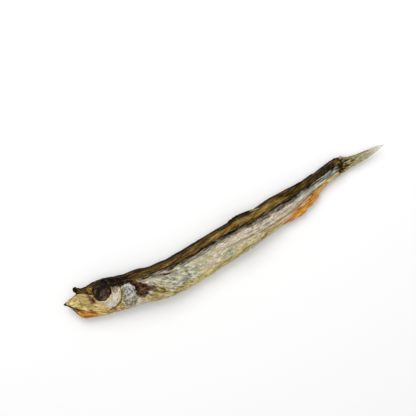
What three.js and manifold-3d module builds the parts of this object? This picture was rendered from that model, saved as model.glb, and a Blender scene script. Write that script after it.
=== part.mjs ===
// A small whole smoked and dried capelin, lying on its right side.
// Millimetres, +Z up. The head points to -X and the back to +Y. The origin is the centre of the
// bounding box on the surface that the fish rests on.
//
// Everything is first drawn in the fish's own frame: x runs from the tip of the lower jaw to the
// tip of the tail, y is height towards the back, and z is distance from the plane that halves the
// fish, positive to its left flank. lay() then rolls that frame on to the surface.
import * as THREE from "three";
import { mergeVertices } from "three/addons/utils/BufferGeometryUtils.js";
import Module from "manifold-3d";

const wasm = await Module();
wasm.setup();

// ---- Driving dimensions -------------------------------------------------------------------
const TOTAL_LENGTH = 150; // jaw tip to tail tip
const ROLL = THREE.MathUtils.degToRad(9); // the back is turned up by this much
const SEAM = 0.35; // clear space between one piece and the next
const FIN_THICKNESS = 0.5;
const PLATE_THICKNESS = 0.5; // gill covers and jaw plates
const SECTION_POWER = 2.3; // 2 is an ellipse, more is squarer

const SNOUT_X = 6.3; // front of the upper jaw
const TRUNK_END_X = 131.6; // root of the tail fin

const EYE = { x: 16.5, y: 3.5, radius: 3.1, bulge: 0.75, socketRadius: 3.65, socketDepth: 1.4 };

// Each profile is a list of [x, value], joined by one smooth curve.
const BACK = [
  [6.3, 9.5], [7.6, 9.6], [9.8, 8.4], [16.3, 8.4], [24.6, 6.8], [33, 5.2], [45.6, 3.6],
  [58.2, 4.6], [75, 6.1], [84, 7.0], [92, 7.4], [100, 8.3], [108.4, 8.3], [116.8, 9.1],
  [124, 10.3], [128.4, 11.3], [131.6, 10.4],
];
const BELLY = [
  [6.3, 8.1], [8.7, 5.2], [12.1, 1.2], [15, -2.8], [17.2, -6.2], [20.4, -7.3], [24.6, -8.0],
  [33, -9.3], [41.4, -10.8], [47, -11.2], [58.2, -10.2], [66.5, -9.2], [75, -8.2], [83.3, -6.9],
  [91.7, -5.5], [100, -3.6], [108.4, -1.4], [116.8, 1.8], [124, 3.3], [131.6, 4.6],
];
const HALF_WIDTH = [
  [6.3, 1.0], [8, 1.7], [12, 3.0], [17, 3.9], [25, 4.3], [34, 4.7], [47, 5.1], [60, 5.0],
  [75, 4.7], [92, 3.9], [108, 3.0], [117, 2.3], [126, 1.7], [131.6, 1.3],
];
// Clear space under the right flank. Below zero the belly is pressed flat against the surface.
const HOVER = [
  [17, 1.2], [38, 1.2], [49, -0.5], [66, -0.5], [77, 0.9], [91, 1.1], [108, 1.1], [131.6, 1.8],
];
const HEAD_LEVEL_X = 17; // in front of this the snout and jaw are carried by the cheeks

// The lower jaw hangs open in front of and below the head.
const JAW_END_X = 16.2;
const JAW_TOP = [[0, 5.5], [2.4, 6.2], [5.4, 6.5], [7.2, 5.7], [9, 3.7], [12, 0.2], [16.2, -5.9]];
const JAW_BASE = [
  [0, 5.0], [1.6, 3.2], [3.2, -0.4], [4.2, -2.9], [6, -4.1], [9, -4.9], [13, -6.2], [16.2, -6.9],
];
const JAW_HALF_WIDTH = [[0, 0.3], [2, 1.0], [5, 2.1], [9, 2.9], [16.2, 3.4]];
const JAW_WALL = 0.8;

// Plates and paired fins lie on the flank: [x, y, half width across] along their middle line.
const UPPER_JAW_PLATE = [[6.9, 7.3, 0.3], [8.0, 4.9, 0.8], [10.2, 2.0, 1.2], [12.8, -1.0, 1.1],
  [15.2, -3.6, 0.3]];
const PECTORAL_FIN = [[30.8, -5.6, 0.9], [34, -6.9, 1.3], [38, -7.9, 1.2], [42, -8.7, 0.4]];
const PELVIC_FIN = [[76.5, -6.1, 0.7], [80, -5.5, 1.1], [86, -4.4, 0.9], [91, -3.6, 0.3]];
const GILL_COVER = { x: 27.2, y: -2.6, halfLength: 3.1, halfHeight: 4.7, slant: 0.16 };

// Fins on the middle plane: where each root meets the body, and its free edge, as [x, y].
const DORSAL_FIN = { root: [76, 90], edge: [[76.5, 6.9], [80, 8.2], [86, 8.5], [95, 8.6]] };
const ADIPOSE_FIN = { root: [112.5, 115.5], edge: [[112.8, 9.3], [115, 9.9], [117.6, 10.0]] };
const ANAL_FIN = {
  root: [101, 121],
  edge: [[101.5, -4.7], [106, -4.2], [110.5, -2.8], [114, -0.8], [117, 0.5], [121.5, 2.4]],
};
const TAIL_FIN = {
  top: [[132, 10.2], [135, 10.1], [139, 8.6], [144, 7.9], [150, 7.7]],
  bottom: [[132, 4.8], [136, 4.9], [141, 5.2], [145, 6.0], [150, 7.3]],
  curl: 1.4, // the rear edge rises this much
};

// ---- Curves and frames --------------------------------------------------------------------

// A smooth function through [x, value] points, flat beyond its ends.
function smooth(points, column = 1) {
  const slope = (i) => {
    const before = points[Math.max(i - 1, 0)];
    const after = points[Math.min(i + 1, points.length - 1)];
    return (after[column] - before[column]) / (after[0] - before[0]);
  };
  return (x) => {
    const at = THREE.MathUtils.clamp(x, points[0][0], points.at(-1)[0]);
    const next = Math.max(1, points.findIndex((p) => p[0] >= at));
    const [left, right] = [points[next - 1], points[next]];
    const span = right[0] - left[0];
    const t = (at - left[0]) / span;
    const bend = t * t * (3 - 2 * t);
    const leftPull = t * (1 - t) * (1 - t) * span * slope(next - 1);
    const rightPull = t * t * (t - 1) * span * slope(next);
    return left[column] * (1 - bend) + right[column] * bend + leftPull + rightPull;
  };
}

const back = smooth(BACK);
const belly = smooth(BELLY);
const halfWidth = smooth(HALF_WIDTH);
const hover = smooth(HOVER);

// Middle and half height of the section at x, once the roll has been taken out of the outline.
function section(x) {
  const seen = (back(x) - belly(x)) / 2;
  const width = halfWidth(x);
  const half = Math.sqrt(Math.max(seen ** 2 - (width * Math.sin(ROLL)) ** 2, 0.04)) / Math.cos(ROLL);
  return { middle: (back(x) + belly(x)) / 2, half, width };
}

// From the fish's own frame to the frame of the surface: each slice rolls about its own middle.
function lay(point) {
  const at = Math.max(point.x, HEAD_LEVEL_X);
  const { middle, half, width } = section(at);
  const lift = Math.hypot(half * Math.sin(ROLL), width * Math.cos(ROLL)) + hover(at);
  const y = point.y - middle;
  return new THREE.Vector3(
    point.x,
    middle + y * Math.cos(ROLL) - point.z * Math.sin(ROLL),
    lift + y * Math.sin(ROLL) + point.z * Math.cos(ROLL),
  );
}

// Half width of the body at a place on its side.
function flank(x, y) {
  const { middle, half, width } = section(x);
  const share = Math.min(Math.abs(y - middle) / half, 0.995);
  return width * (1 - share ** SECTION_POWER) ** (1 / SECTION_POWER);
}

// ---- Closed surfaces ----------------------------------------------------------------------

// A closed skin over rings of points, each ring going round the same way.
function skin(rings) {
  const around = rings[0].length;
  const points = rings.flat();
  const faces = [];
  const at = (ring, i) => ring * around + (i % around);
  for (let ring = 0; ring < rings.length - 1; ring += 1) {
    for (let i = 0; i < around; i += 1) {
      faces.push(at(ring, i), at(ring + 1, i), at(ring, i + 1));
      faces.push(at(ring, i + 1), at(ring + 1, i), at(ring + 1, i + 1));
    }
  }
  [[0, true], [rings.length - 1, false]].forEach(([ring, first]) => {
    const centre = new THREE.Vector3();
    rings[ring].forEach((p) => centre.addScaledVector(p, 1 / around));
    points.push(centre);
    for (let i = 0; i < around; i += 1) {
      const edge = [at(ring, i), at(ring, i + 1)];
      faces.push(points.length - 1, ...(first ? edge : edge.reverse()));
    }
  });
  const geometry = new THREE.BufferGeometry().setFromPoints(points);
  geometry.setIndex(faces);
  return outward(geometry);
}

// Turns a closed geometry's faces outwards.
function outward(geometry) {
  const position = geometry.attributes.position;
  const index = geometry.index.array;
  const [a, b, c] = [new THREE.Vector3(), new THREE.Vector3(), new THREE.Vector3()];
  let volume = 0;
  for (let i = 0; i < index.length; i += 3) {
    a.fromBufferAttribute(position, index[i]);
    b.fromBufferAttribute(position, index[i + 1]);
    c.fromBufferAttribute(position, index[i + 2]);
    volume += a.dot(b.cross(c));
  }
  if (volume < 0) {
    for (let i = 0; i < index.length; i += 3) {
      [index[i + 1], index[i + 2]] = [index[i + 2], index[i + 1]];
    }
  }
  return geometry;
}

// Evenly spaced values from first to last.
function steps(first, last, count) {
  return Array.from({ length: count + 1 }, (_, i) => first + ((last - first) * i) / count);
}

// One ring of a body section.
function ring(x, middle, half, width, around) {
  return steps(0, 2 * Math.PI, around).slice(0, -1).map((angle) => {
    const up = Math.cos(angle);
    const side = Math.sin(angle);
    const rounded = (value) => Math.sign(value) * Math.abs(value) ** (2 / SECTION_POWER);
    return new THREE.Vector3(x, middle + half * rounded(up), width * rounded(side));
  });
}

// Moves every point of a geometry from the fish's frame to the surface's, and no lower than it.
function laid(geometry) {
  const position = geometry.attributes.position;
  for (let i = 0; i < position.count; i += 1) {
    const point = lay(new THREE.Vector3().fromBufferAttribute(position, i));
    position.setXYZ(i, point.x, point.y, Math.max(point.z, 0));
  }
  return geometry;
}

// ---- Joining and cutting ------------------------------------------------------------------

function toSolid(geometry) {
  const bare = geometry.clone();
  bare.deleteAttribute("normal");
  bare.deleteAttribute("uv");
  const merged = mergeVertices(bare, 1e-4);
  return new wasm.Manifold(new wasm.Mesh({
    numProp: 3,
    vertProperties: merged.attributes.position.array,
    triVerts: new Uint32Array(merged.index.array),
  }));
}

function toGeometry(solid) {
  const mesh = solid.getMesh();
  const geometry = new THREE.BufferGeometry();
  geometry.setAttribute("position", new THREE.BufferAttribute(mesh.vertProperties, 3));
  geometry.setIndex(new THREE.BufferAttribute(mesh.triVerts, 1));
  return geometry;
}

// ---- The pieces, in the fish's own frame ----------------------------------------------------

const LEFT = 1;
const RIGHT = -1;

function ellipsoid(x, y, z, radius, depth) {
  const geometry = new THREE.SphereGeometry(1, 18, 10);
  geometry.scale(radius, radius, depth);
  geometry.translate(x, y, z);
  return geometry;
}

// Head and trunk are one piece, with a socket for each eye.
function body() {
  const rings = steps(0, 1, 56).map((t) => {
    const x = THREE.MathUtils.lerp(SNOUT_X, TRUNK_END_X, t ** 1.15);
    const { middle, half, width } = section(x);
    return ring(x, middle, half, width, 24);
  });
  const sockets = [LEFT, RIGHT].map((side) => toSolid(ellipsoid(
    EYE.x, EYE.y, side * flank(EYE.x, EYE.y), EYE.socketRadius, EYE.socketDepth,
  )));
  return toGeometry(toSolid(skin(rings)).subtract(sockets[0]).subtract(sockets[1]));
}

function eye(side) {
  return ellipsoid(EYE.x, EYE.y, side * (flank(EYE.x, EYE.y) - 0.1), EYE.radius, EYE.bulge);
}

// A jaw-shaped wedge. inset makes the smaller wedge that hollows it out.
function jawWedge(inset) {
  const top = smooth(JAW_TOP);
  const base = smooth(JAW_BASE);
  const width = smooth(JAW_HALF_WIDTH);
  const first = inset ? 1.8 : 0;
  const last = inset ? 11 : JAW_END_X;
  return skin(steps(first, last, 16).map((x) => {
    const high = top(x) + 3 * inset;
    const low = Math.min(base(x) + 1.2 * inset, high - 0.3);
    return ring(x, (high + low) / 2, (high - low) / 2, width(x) - inset, 16);
  }));
}

function lowerJaw() {
  return toGeometry(toSolid(jawWedge(0)).subtract(toSolid(jawWedge(JAW_WALL))));
}

// A thin closed plate over a grid of [x, y] places, standing off the flank by a seam.
function plate(rows, side, thickness, standOff) {
  const rings = rows.map((row) => {
    const inner = row.map(([x, y]) => new THREE.Vector3(x, y, side * (standOff(x, y) + SEAM)));
    const outer = row.map(([x, y]) => (
      new THREE.Vector3(x, y, side * (standOff(x, y) + SEAM + thickness))
    ));
    return [...inner, ...outer.reverse()];
  });
  return skin(rings);
}

// Rows across a strip whose middle line and half width are given as [x, y, half width].
function strip(line, across) {
  const height = smooth(line);
  const width = smooth(line, 2);
  return steps(line[0][0], line.at(-1)[0], 12).map((x) => {
    const run = 0.2;
    const rise = height(x + run) - height(x - run);
    const long = Math.hypot(2 * run, rise);
    const [nx, ny] = [-rise / long, (2 * run) / long];
    return steps(-width(x), width(x), across).map((s) => [x + nx * s, height(x) + ny * s]);
  });
}

// The wider of head and jaw at a place on the side of the mouth.
function mouthSide(x, y) {
  const jaw = smooth(JAW_HALF_WIDTH)(x) + 0.1;
  return Math.max(jaw, flank(Math.max(x, SNOUT_X), y));
}

function upperJawPlate(side) {
  return plate(strip(UPPER_JAW_PLATE, 3), side, PLATE_THICKNESS, mouthSide);
}

function gillCover(side) {
  const { x, y, halfLength, halfHeight, slant } = GILL_COVER;
  const rows = steps(-1, 1, 14).map((t) => {
    const high = y + halfHeight * t;
    const reach = halfLength * Math.sqrt(Math.max(1 - t ** 4, 0.02));
    const middle = x + slant * (high - y);
    return steps(-reach, reach, 8).map((s) => [middle + s, high]);
  });
  return plate(rows, side, PLATE_THICKNESS, flank);
}

function pairedFin(line, side) {
  return plate(strip(line, 4), side, FIN_THICKNESS, flank);
}

// A blade on the middle plane between two curves of [x, y] points.
function blade(lowEdge, highEdge, rise = () => 0) {
  const rings = lowEdge.map((low, i) => {
    const high = highEdge[i];
    const row = steps(0, 1, 4).map((t) => [
      THREE.MathUtils.lerp(low[0], high[0], t), THREE.MathUtils.lerp(low[1], high[1], t),
    ]);
    const wall = (half) => row.map(([x, y]) => new THREE.Vector3(x, y, half + rise(x)));
    return [...wall(-FIN_THICKNESS / 2), ...wall(FIN_THICKNESS / 2).reverse()];
  });
  return skin(rings);
}

// A fin that grows from the back (up = 1) or the belly (up = -1).
function medianFin({ root, edge }, up) {
  const free = smooth(edge);
  const rootX = steps(root[0], root[1], 14);
  const edgeX = steps(edge[0][0], edge.at(-1)[0], 14);
  const stand = (x) => {
    const { middle, half } = section(x);
    return middle + up * (half + SEAM);
  };
  const low = rootX.map((x) => [x, stand(x)]);
  const high = edgeX.map((x) => {
    const seen = free(x) - section(x).middle;
    return [x, section(x).middle + up * Math.max(up * seen / Math.cos(ROLL), section(x).half + 0.7)];
  });
  return blade(low, high);
}

function tailFin() {
  const top = smooth(TAIL_FIN.top);
  const bottom = smooth(TAIL_FIN.bottom);
  const along = steps(TAIL_FIN.top[0][0], TOTAL_LENGTH, 16);
  const rise = (x) => TAIL_FIN.curl * ((x - along[0]) / (TOTAL_LENGTH - along[0])) ** 2;
  return blade(along.map((x) => [x, bottom(x)]), along.map((x) => [x, top(x)]), rise);
}

// ---- Materials and assembly ---------------------------------------------------------------

const finish = (color, roughness, metalness = 0) => (
  new THREE.MeshStandardMaterial({ color, roughness, metalness })
);
const SKIN = finish(0xa89a72, 0.55);
const SILVER_BONE = finish(0xbcc6bf, 0.4, 0.2);
const AMBER_SKIN = finish(0xc08a35, 0.45);
const DRIED_EYE = finish(0x3a2414, 0.5);
const FIN_WEB = finish(0xb9ad7c, 0.6);

// A named mesh whose own origin is the middle of the piece.
function piece(name, geometry, material) {
  const flat = laid(geometry);
  flat.computeBoundingBox();
  const centre = flat.boundingBox.getCenter(new THREE.Vector3());
  flat.translate(-centre.x, -centre.y, -centre.z);
  flat.computeVertexNormals();
  const mesh = new THREE.Mesh(flat, material);
  mesh.name = name;
  mesh.position.copy(centre);
  return mesh;
}

const head = new THREE.Group();
head.add(piece("lower_jaw", lowerJaw(), AMBER_SKIN));
[["left", LEFT], ["right", RIGHT]].forEach(([word, side]) => {
  head.add(piece(`${word}_upper_jaw_plate`, upperJawPlate(side), AMBER_SKIN));
  head.add(piece(`${word}_eye`, eye(side), DRIED_EYE));
  head.add(piece(`${word}_gill_cover`, gillCover(side), SILVER_BONE));
});

const fins = new THREE.Group();
fins.add(piece("dorsal_fin", medianFin(DORSAL_FIN, 1), FIN_WEB));
fins.add(piece("adipose_fin", medianFin(ADIPOSE_FIN, 1), FIN_WEB));
fins.add(piece("anal_fin", medianFin(ANAL_FIN, -1), AMBER_SKIN));
fins.add(piece("tail_fin", tailFin(), FIN_WEB));
[["left", LEFT], ["right", RIGHT]].forEach(([word, side]) => {
  fins.add(piece(`${word}_pectoral_fin`, pairedFin(PECTORAL_FIN, side), FIN_WEB));
  fins.add(piece(`${word}_pelvic_fin`, pairedFin(PELVIC_FIN, side), FIN_WEB));
});

const fish = new THREE.Group();
fish.add(piece("body", body(), SKIN), head, fins);

// Centre the whole fish over the origin.
const bounds = new THREE.Box3().setFromObject(fish, true);
const middle = bounds.getCenter(new THREE.Vector3());
fish.position.set(-middle.x, -middle.y, -bounds.min.z);

const part = new THREE.Group();
part.add(fish);

export default part;
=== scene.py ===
"""The looks of a small whole smoked and dried fish that lies on its right side with its mouth agape.

Shapes are drawn in the fish's own frame, in millimetres: x runs from the tip of the lower jaw to the
tip of the tail, y is height towards the back, and z is distance from the plane that halves the fish,
positive to its left flank. Form.lay() rolls that frame on to the floor, where the CAD frame has it.
"""

import functools
import itertools
import logging
import math
from dataclasses import dataclass
from enum import Enum

import bpy
import numpy as np
from mathutils import Matrix, Vector


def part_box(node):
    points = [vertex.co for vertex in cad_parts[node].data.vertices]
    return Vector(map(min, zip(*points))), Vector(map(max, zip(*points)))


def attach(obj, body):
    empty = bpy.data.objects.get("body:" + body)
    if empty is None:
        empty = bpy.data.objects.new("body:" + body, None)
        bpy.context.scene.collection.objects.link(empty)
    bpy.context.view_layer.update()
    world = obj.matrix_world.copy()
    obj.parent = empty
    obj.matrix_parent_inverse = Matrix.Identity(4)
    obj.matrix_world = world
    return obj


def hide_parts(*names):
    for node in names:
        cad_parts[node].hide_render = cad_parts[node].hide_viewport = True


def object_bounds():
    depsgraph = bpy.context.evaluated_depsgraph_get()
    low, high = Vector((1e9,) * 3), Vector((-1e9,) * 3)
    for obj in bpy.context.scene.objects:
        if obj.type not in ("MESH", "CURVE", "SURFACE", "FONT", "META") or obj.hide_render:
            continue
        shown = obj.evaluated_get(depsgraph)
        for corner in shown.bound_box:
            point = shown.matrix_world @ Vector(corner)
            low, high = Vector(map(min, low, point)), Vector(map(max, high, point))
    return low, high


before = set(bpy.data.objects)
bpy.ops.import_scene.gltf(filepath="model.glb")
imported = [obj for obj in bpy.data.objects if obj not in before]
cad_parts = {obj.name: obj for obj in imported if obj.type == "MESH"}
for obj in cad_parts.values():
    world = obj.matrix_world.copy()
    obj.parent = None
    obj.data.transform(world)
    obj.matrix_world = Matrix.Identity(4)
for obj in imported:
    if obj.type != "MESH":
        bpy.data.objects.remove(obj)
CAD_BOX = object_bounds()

Array = np.ndarray
Path = tuple[tuple[float, float], ...]
Spots = tuple[tuple[float, float, float, float, float, float], ...]
Colour = tuple[float, float, float]
Screen = tuple[int, int, int]  # a colour as a screen shows it, 0 to 255

MM = 0.001
BODY = "root"
LEFT = 1
RIGHT = -1
SIDES = {"left": LEFT, "right": RIGHT}

log = logging.getLogger("smoked_fish")


class Tint(Enum):
    """What a part of the surface is stained or covered with, or how much painted shade or painted
    highlight it takes; each is an attribute of the mesh.
    """

    BACK = "back"
    GOLD = "gold"
    DARK = "dark"
    SLATE = "slate"
    STEEL = "steel"
    PEARL = "pearl"
    OLIVE = "olive"
    MOSS = "moss"
    AMBER = "amber"
    ORANGE = "orange"
    BLOOD = "blood"
    BEIGE = "beige"
    PINK = "pink"
    # painted shade in the creases of folds, and painted highlight on their crests
    CREASE_SHADE = "crease_shade"
    CREST_HIGHLIGHT = "crest_highlight"
    OUT = "out"


def shade(red: int, green: int, blue: int) -> Colour:
    """Turns a colour as a screen shows it, 0 to 255, into the linear one that a shader takes."""
    parts = (value / 255 for value in (red, green, blue))
    return tuple(v / 12.92 if v <= 0.04045 else ((v + 0.055) / 1.055) ** 2.4 for v in parts)


def ease(value: Array, low: float, high: float) -> Array:
    """Goes smoothly from 0 where value is low to 1 where it is high."""
    t = np.clip((value - low) / (high - low), 0, 1)
    return t * t * (3 - 2 * t)


def fade(value: Array, low: float, high: float) -> Array:
    """Goes smoothly from 1 where value is low to 0 where it is high."""
    return 1 - ease(value, low, high)


def bell(value: Array, width: float | Array) -> Array:
    """Gives 1 where value is 0, falling away to nothing about two widths off."""
    return np.exp(-((value / width) ** 2))


def most(*fields: Array) -> Array:
    """Gives the greatest of the fields at each point."""
    return functools.reduce(np.maximum, fields)


def full_turn(count: int) -> Array:
    """Gives a row of angles spread evenly once round."""
    return np.linspace(0, 2 * np.pi, count, endpoint=False)[None, :]


# ---- Curves and random fields ----------------------------------------------------------------


class Profile:
    """One smooth curve through (x, value) points, flat beyond its ends."""

    def __init__(self, *points: tuple[float, float]) -> None:
        """Works out the curve's slopes.

        Args:
            points: pairs of x and value, in order of x.
        """
        self.at, self.value = np.array(points, float).T
        last = len(points) - 1
        after = np.minimum(np.arange(last + 1) + 1, last)
        before = np.maximum(np.arange(last + 1) - 1, 0)
        self.slope = (self.value[after] - self.value[before]) / (self.at[after] - self.at[before])

    def __call__(self, x: Array) -> Array:
        """Reads the curve.

        Args:
            x: places along it.

        Returns:
            The curve's value at each place.
        """
        x = np.clip(x, self.at[0], self.at[-1])
        i = np.clip(np.searchsorted(self.at, x) - 1, 0, len(self.at) - 2)
        span = self.at[i + 1] - self.at[i]
        t = (x - self.at[i]) / span
        bend = t * t * (3 - 2 * t)
        pull = t * (1 - t) ** 2 * self.slope[i] + t * t * (t - 1) * self.slope[i + 1]
        return self.value[i] * (1 - bend) + self.value[i + 1] * bend + pull * span


class Noise:
    """A smooth random field in space that is the same each run."""

    def __init__(self, seed: int) -> None:
        """Draws the field's random slopes.

        Args:
            seed: a number that picks the field.
        """
        random = np.random.default_rng(seed)
        self.order = np.tile(random.permutation(256), 2)
        slopes = random.normal(size=(256, 3))
        self.slopes = slopes / np.linalg.norm(slopes, axis=1, keepdims=True)

    def __call__(self, points: Array, size: tuple[float, float, float], octaves: int = 1) -> Array:
        """Reads the field.

        Args:
            points: places, in millimetres.
            size: how long, high and deep its lumps are, in millimetres.
            octaves: how many times finer lumps are added.

        Returns:
            One value for each point, from about -1 to 1.
        """
        scaled = points / np.array(size)
        return sum(0.5**k * self._single(scaled * 2**k + 7.3 * k) for k in range(octaves))

    def _single(self, points: Array) -> Array:
        """Reads the field with one size of lump.

        Args:
            points: places, counted in lumps.

        Returns:
            One value for each point.
        """
        cell = np.floor(points).astype(int)
        part = points - cell
        eased = part**3 * (part * (part * 6 - 15) + 10)
        total = np.zeros(points.shape[:-1])
        for corner in itertools.product((0, 1), repeat=3):
            at = (cell + corner) & 255
            row = self.order[self.order[at[..., 0]] + at[..., 1]]
            slope = self.slopes[self.order[row + at[..., 2]]]
            weight = np.prod(np.where(corner, eased, 1 - eased), axis=-1)
            total += weight * np.sum(slope * (part - corner), axis=-1)
        return 1.6 * total

    def folds(self, points: Array, length: float, spacing: float, lean: float = 0.0) -> Array:
        """Gives dried skin in folds.

        Args:
            points: places, in millimetres.
            length: how long a fold is.
            spacing: how far apart the creases are.
            lean: the angle of the folds to the fish, in degrees.

        Returns:
            One value for each point, 1 on the swollen skin and 0 in the creases.
        """
        turn = math.radians(lean)
        turned = points.copy()
        turned[..., 0] = points[..., 0] * math.cos(turn) + points[..., 1] * math.sin(turn)
        turned[..., 1] = points[..., 1] * math.cos(turn) - points[..., 0] * math.sin(turn)
        wander = self(turned + 31.7, (length * 1.3, spacing * 4, spacing * 4))
        turned[..., 1] += wander * spacing * 1.1
        return np.clip(np.abs(self(turned, (length, spacing, spacing * 1.6))) * 2.6, 0, 1)


# ---- The fish's form -------------------------------------------------------------------------


@dataclass(frozen=True)
class Form:
    """The outline, thickness and lie of the whole fish, which every piece is drawn on."""

    roll: float = math.radians(9)
    power: float = 2.3  # 2 would make each section an ellipse
    head_level_x: float = 17.0  # in front of this the snout is carried by the cheeks
    floor_ease: float = 0.22  # how softly the skin flattens on the floor
    front_x: float = 6.3  # where the trunk starts, over the gape
    end_x: float = 131.6  # where the trunk gives way to the tail fin
    back: Profile = Profile(
        (6.3, 9.5), (7.6, 9.6), (9.8, 8.4), (16.3, 8.4), (24.6, 6.8), (33, 5.2), (45.6, 3.6),
        (58.2, 4.6), (75, 6.1), (84, 7.0), (92, 7.4), (100, 8.3), (108.4, 8.3), (116.8, 9.1),
        (124, 10.3), (128.4, 11.3), (131.6, 10.4),
    )
    belly: Profile = Profile(
        (6.3, 8.1), (8.7, 5.2), (12.1, 1.2), (15, -2.8), (17.2, -6.2), (20.4, -7.3), (24.6, -8.0),
        (33, -9.3), (41.4, -10.8), (47, -11.2), (58.2, -10.2), (66.5, -9.2), (75, -8.2),
        (83.3, -6.9), (91.7, -5.5), (100, -3.6), (108.4, -1.4), (116.8, 1.8), (124, 3.3),
        (131.6, 4.6),
    )
    half_width: Profile = Profile(
        (6.3, 1.0), (8, 1.7), (12, 3.0), (17, 3.9), (25, 4.3), (34, 4.7), (47, 5.1), (60, 5.0),
        (75, 4.7), (92, 3.9), (108, 3.0), (117, 2.3), (126, 1.7), (131.6, 1.3),
    )
    hover: Profile = Profile(
        (17, 1.2), (38, 1.2), (49, -0.5), (66, -0.5), (77, 0.9), (91, 1.1), (108, 1.1),
        (131.6, 1.8),
    )

    def section(self, x: Array) -> tuple[Array, Array, Array]:
        """Measures the trunk's section.

        Args:
            x: places along the fish.

        Returns:
            The middle, half height and half width of the section at each place.
        """
        seen = (self.back(x) - self.belly(x)) / 2
        width = self.half_width(x)
        level = np.maximum(seen**2 - (width * math.sin(self.roll)) ** 2, 0.04)
        return (self.back(x) + self.belly(x)) / 2, np.sqrt(level) / math.cos(self.roll), width

    def flank(self, x: Array, y: Array) -> Array:
        """Measures the trunk at places on its side.

        Args:
            x: how far along the fish they are.
            y: how high they are.

        Returns:
            The half width of the trunk at each place.
        """
        middle, half, width = self.section(x)
        share = np.minimum(np.abs(y - middle) / half, 0.995)
        return width * (1 - share**self.power) ** (1 / self.power)

    def seen_y(self, points: Array) -> Array:
        """Finds how high up the side points show, alike for both sides.

        Args:
            points: places in the fish's frame.

        Returns:
            One height for each point.
        """
        middle = self.section(np.maximum(points[..., 0], self.head_level_x))[0]
        up = (points[..., 1] - middle) * math.cos(self.roll)
        return middle + up - np.abs(points[..., 2]) * math.sin(self.roll)

    def roll_over(self, points: Array) -> Array:
        """Turns the fish on to its side, with nothing moved to the CAD frame yet.

        Args:
            points: places in the fish's frame.

        Returns:
            Where they are then.
        """
        at = np.maximum(points[..., 0], self.head_level_x)
        middle, half, width = self.section(at)
        up, right = math.cos(self.roll), math.sin(self.roll)
        lift = np.hypot(half * right, width * up) + self.hover(at)
        y = points[..., 1] - middle
        z = points[..., 2]
        return np.stack([points[..., 0], middle + y * up - z * right, lift + y * right + z * up], -1)

    def ring(self, x: Array, around: int) -> Array:
        """Gives plain sections of the trunk.

        Args:
            x: where the sections are.
            around: how many points each one has.

        Returns:
            Points of the fish's frame, by section and place round it.
        """
        middle, half, width = (v[:, None] for v in self.section(x))
        angle = full_turn(around)
        rounded = [np.sign(v) * np.abs(v) ** (2 / self.power) for v in (np.cos(angle), np.sin(angle))]
        y = middle + half * rounded[0]
        return np.stack([np.broadcast_to(x[:, None], y.shape), y, width * rounded[1]], -1)

    def lay(self, points: Array) -> Array:
        """Puts points in the CAD frame, flattened on the floor.

        Args:
            points: places in the fish's frame.

        Returns:
            Where they are in the CAD frame, in millimetres.
        """
        laid = self.roll_over(points)
        highest = self.roll_over(self.ring(np.linspace(120, self.end_x, 60), 48))[..., 1].max()
        tip = Vector(CAD_BOX[0]) / MM
        top = Vector(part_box("body")[1]) / MM
        laid[..., 0] += tip.x
        laid[..., 1] += top.y - highest
        height = laid[..., 2]
        laid[..., 2] = (height + np.sqrt(height**2 + self.floor_ease**2)) / 2
        return laid


FORM = Form()


class Chart:
    """Where a piece's points are on the side of the fish, for drawing marks and grain there."""

    def __init__(self, points: Array) -> None:
        """Finds where the points show on the side.

        Args:
            points: places in the fish's frame.
        """
        self.x = points[..., 0]
        self.y = FORM.seen_y(points)
        middle = FORM.section(self.x)[0]
        self.grain = np.stack([self.x, points[..., 1] - middle, points[..., 2]], -1)

    def near(self, path: Path, width: float) -> Array:
        """Marks a line drawn on the side.

        Args:
            path: the line's corners.
            width: how far off the line the mark fades, in millimetres.

        Returns:
            One value for each point, 1 on the line and 0 well off it.
        """
        closest = np.full(self.x.shape, 1e9)
        for (x0, y0), (x1, y1) in itertools.pairwise(path):
            run, rise = x1 - x0, y1 - y0
            share = ((self.x - x0) * run + (self.y - y0) * rise) / (run * run + rise * rise)
            share = np.clip(share, 0, 1)
            away = (self.x - x0 - share * run) ** 2 + (self.y - y0 - share * rise) ** 2
            closest = np.minimum(closest, away)
        return np.exp(-closest / width**2)

    def spot(self, x: float, y: float, long: float, high: float, lean: float = 0.0) -> Array:
        """Marks a soft oval patch on the side.

        Args:
            x: how far along the fish its middle is.
            y: how high its middle is.
            long: half its length.
            high: half its height.
            lean: how far its rear end is turned up, in degrees.

        Returns:
            One value for each point, 1 inside the patch and 0 well outside.
        """
        turn = math.radians(lean)
        along = (self.x - x) * math.cos(turn) + (self.y - y) * math.sin(turn)
        across = (self.y - y) * math.cos(turn) - (self.x - x) * math.sin(turn)
        return fade(np.hypot(along / long, across / high), 0.55, 1.25)

    def spots(self, places: Spots) -> Array:
        """Gives the strongest of several patches, each a spot's five numbers and its strength."""
        return most(*(self.spot(*place) * strength for *place, strength in places))

    def reach(self, start: float, end: float, soft: float = 4.0) -> Array:
        """Gives 1 between two places along the fish, fading over a soft length outside them."""
        return ease(self.x, start - soft, start) * fade(self.x, end, end + soft)

    def above(self, line: Profile, soft: float = 0.35) -> Array:
        """Gives 1 above a line drawn along the side and 0 below it."""
        return ease(self.y - line(self.x), -soft, soft)


# ---- Meshes ----------------------------------------------------------------------------------


def put_in_scene(name: str, data: bpy.types.ID) -> bpy.types.Object:
    """Adds an object to the scene, at the origin.

    Args:
        name: the object's name.
        data: its mesh, light or camera.

    Returns:
        The object.
    """
    thing = bpy.data.objects.new(name, data)
    bpy.context.scene.collection.objects.link(thing)
    return thing


def mark(mesh: bpy.types.Mesh, values: dict[str, Array]) -> None:
    """Writes attributes on a mesh.

    Args:
        mesh: the mesh.
        values: for each name, one value for each vertex.
    """
    for name, numbers in values.items():
        attribute = mesh.attributes.new(name, "FLOAT", "POINT")
        attribute.data.foreach_set("value", numbers.astype(np.float32).ravel())


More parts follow.
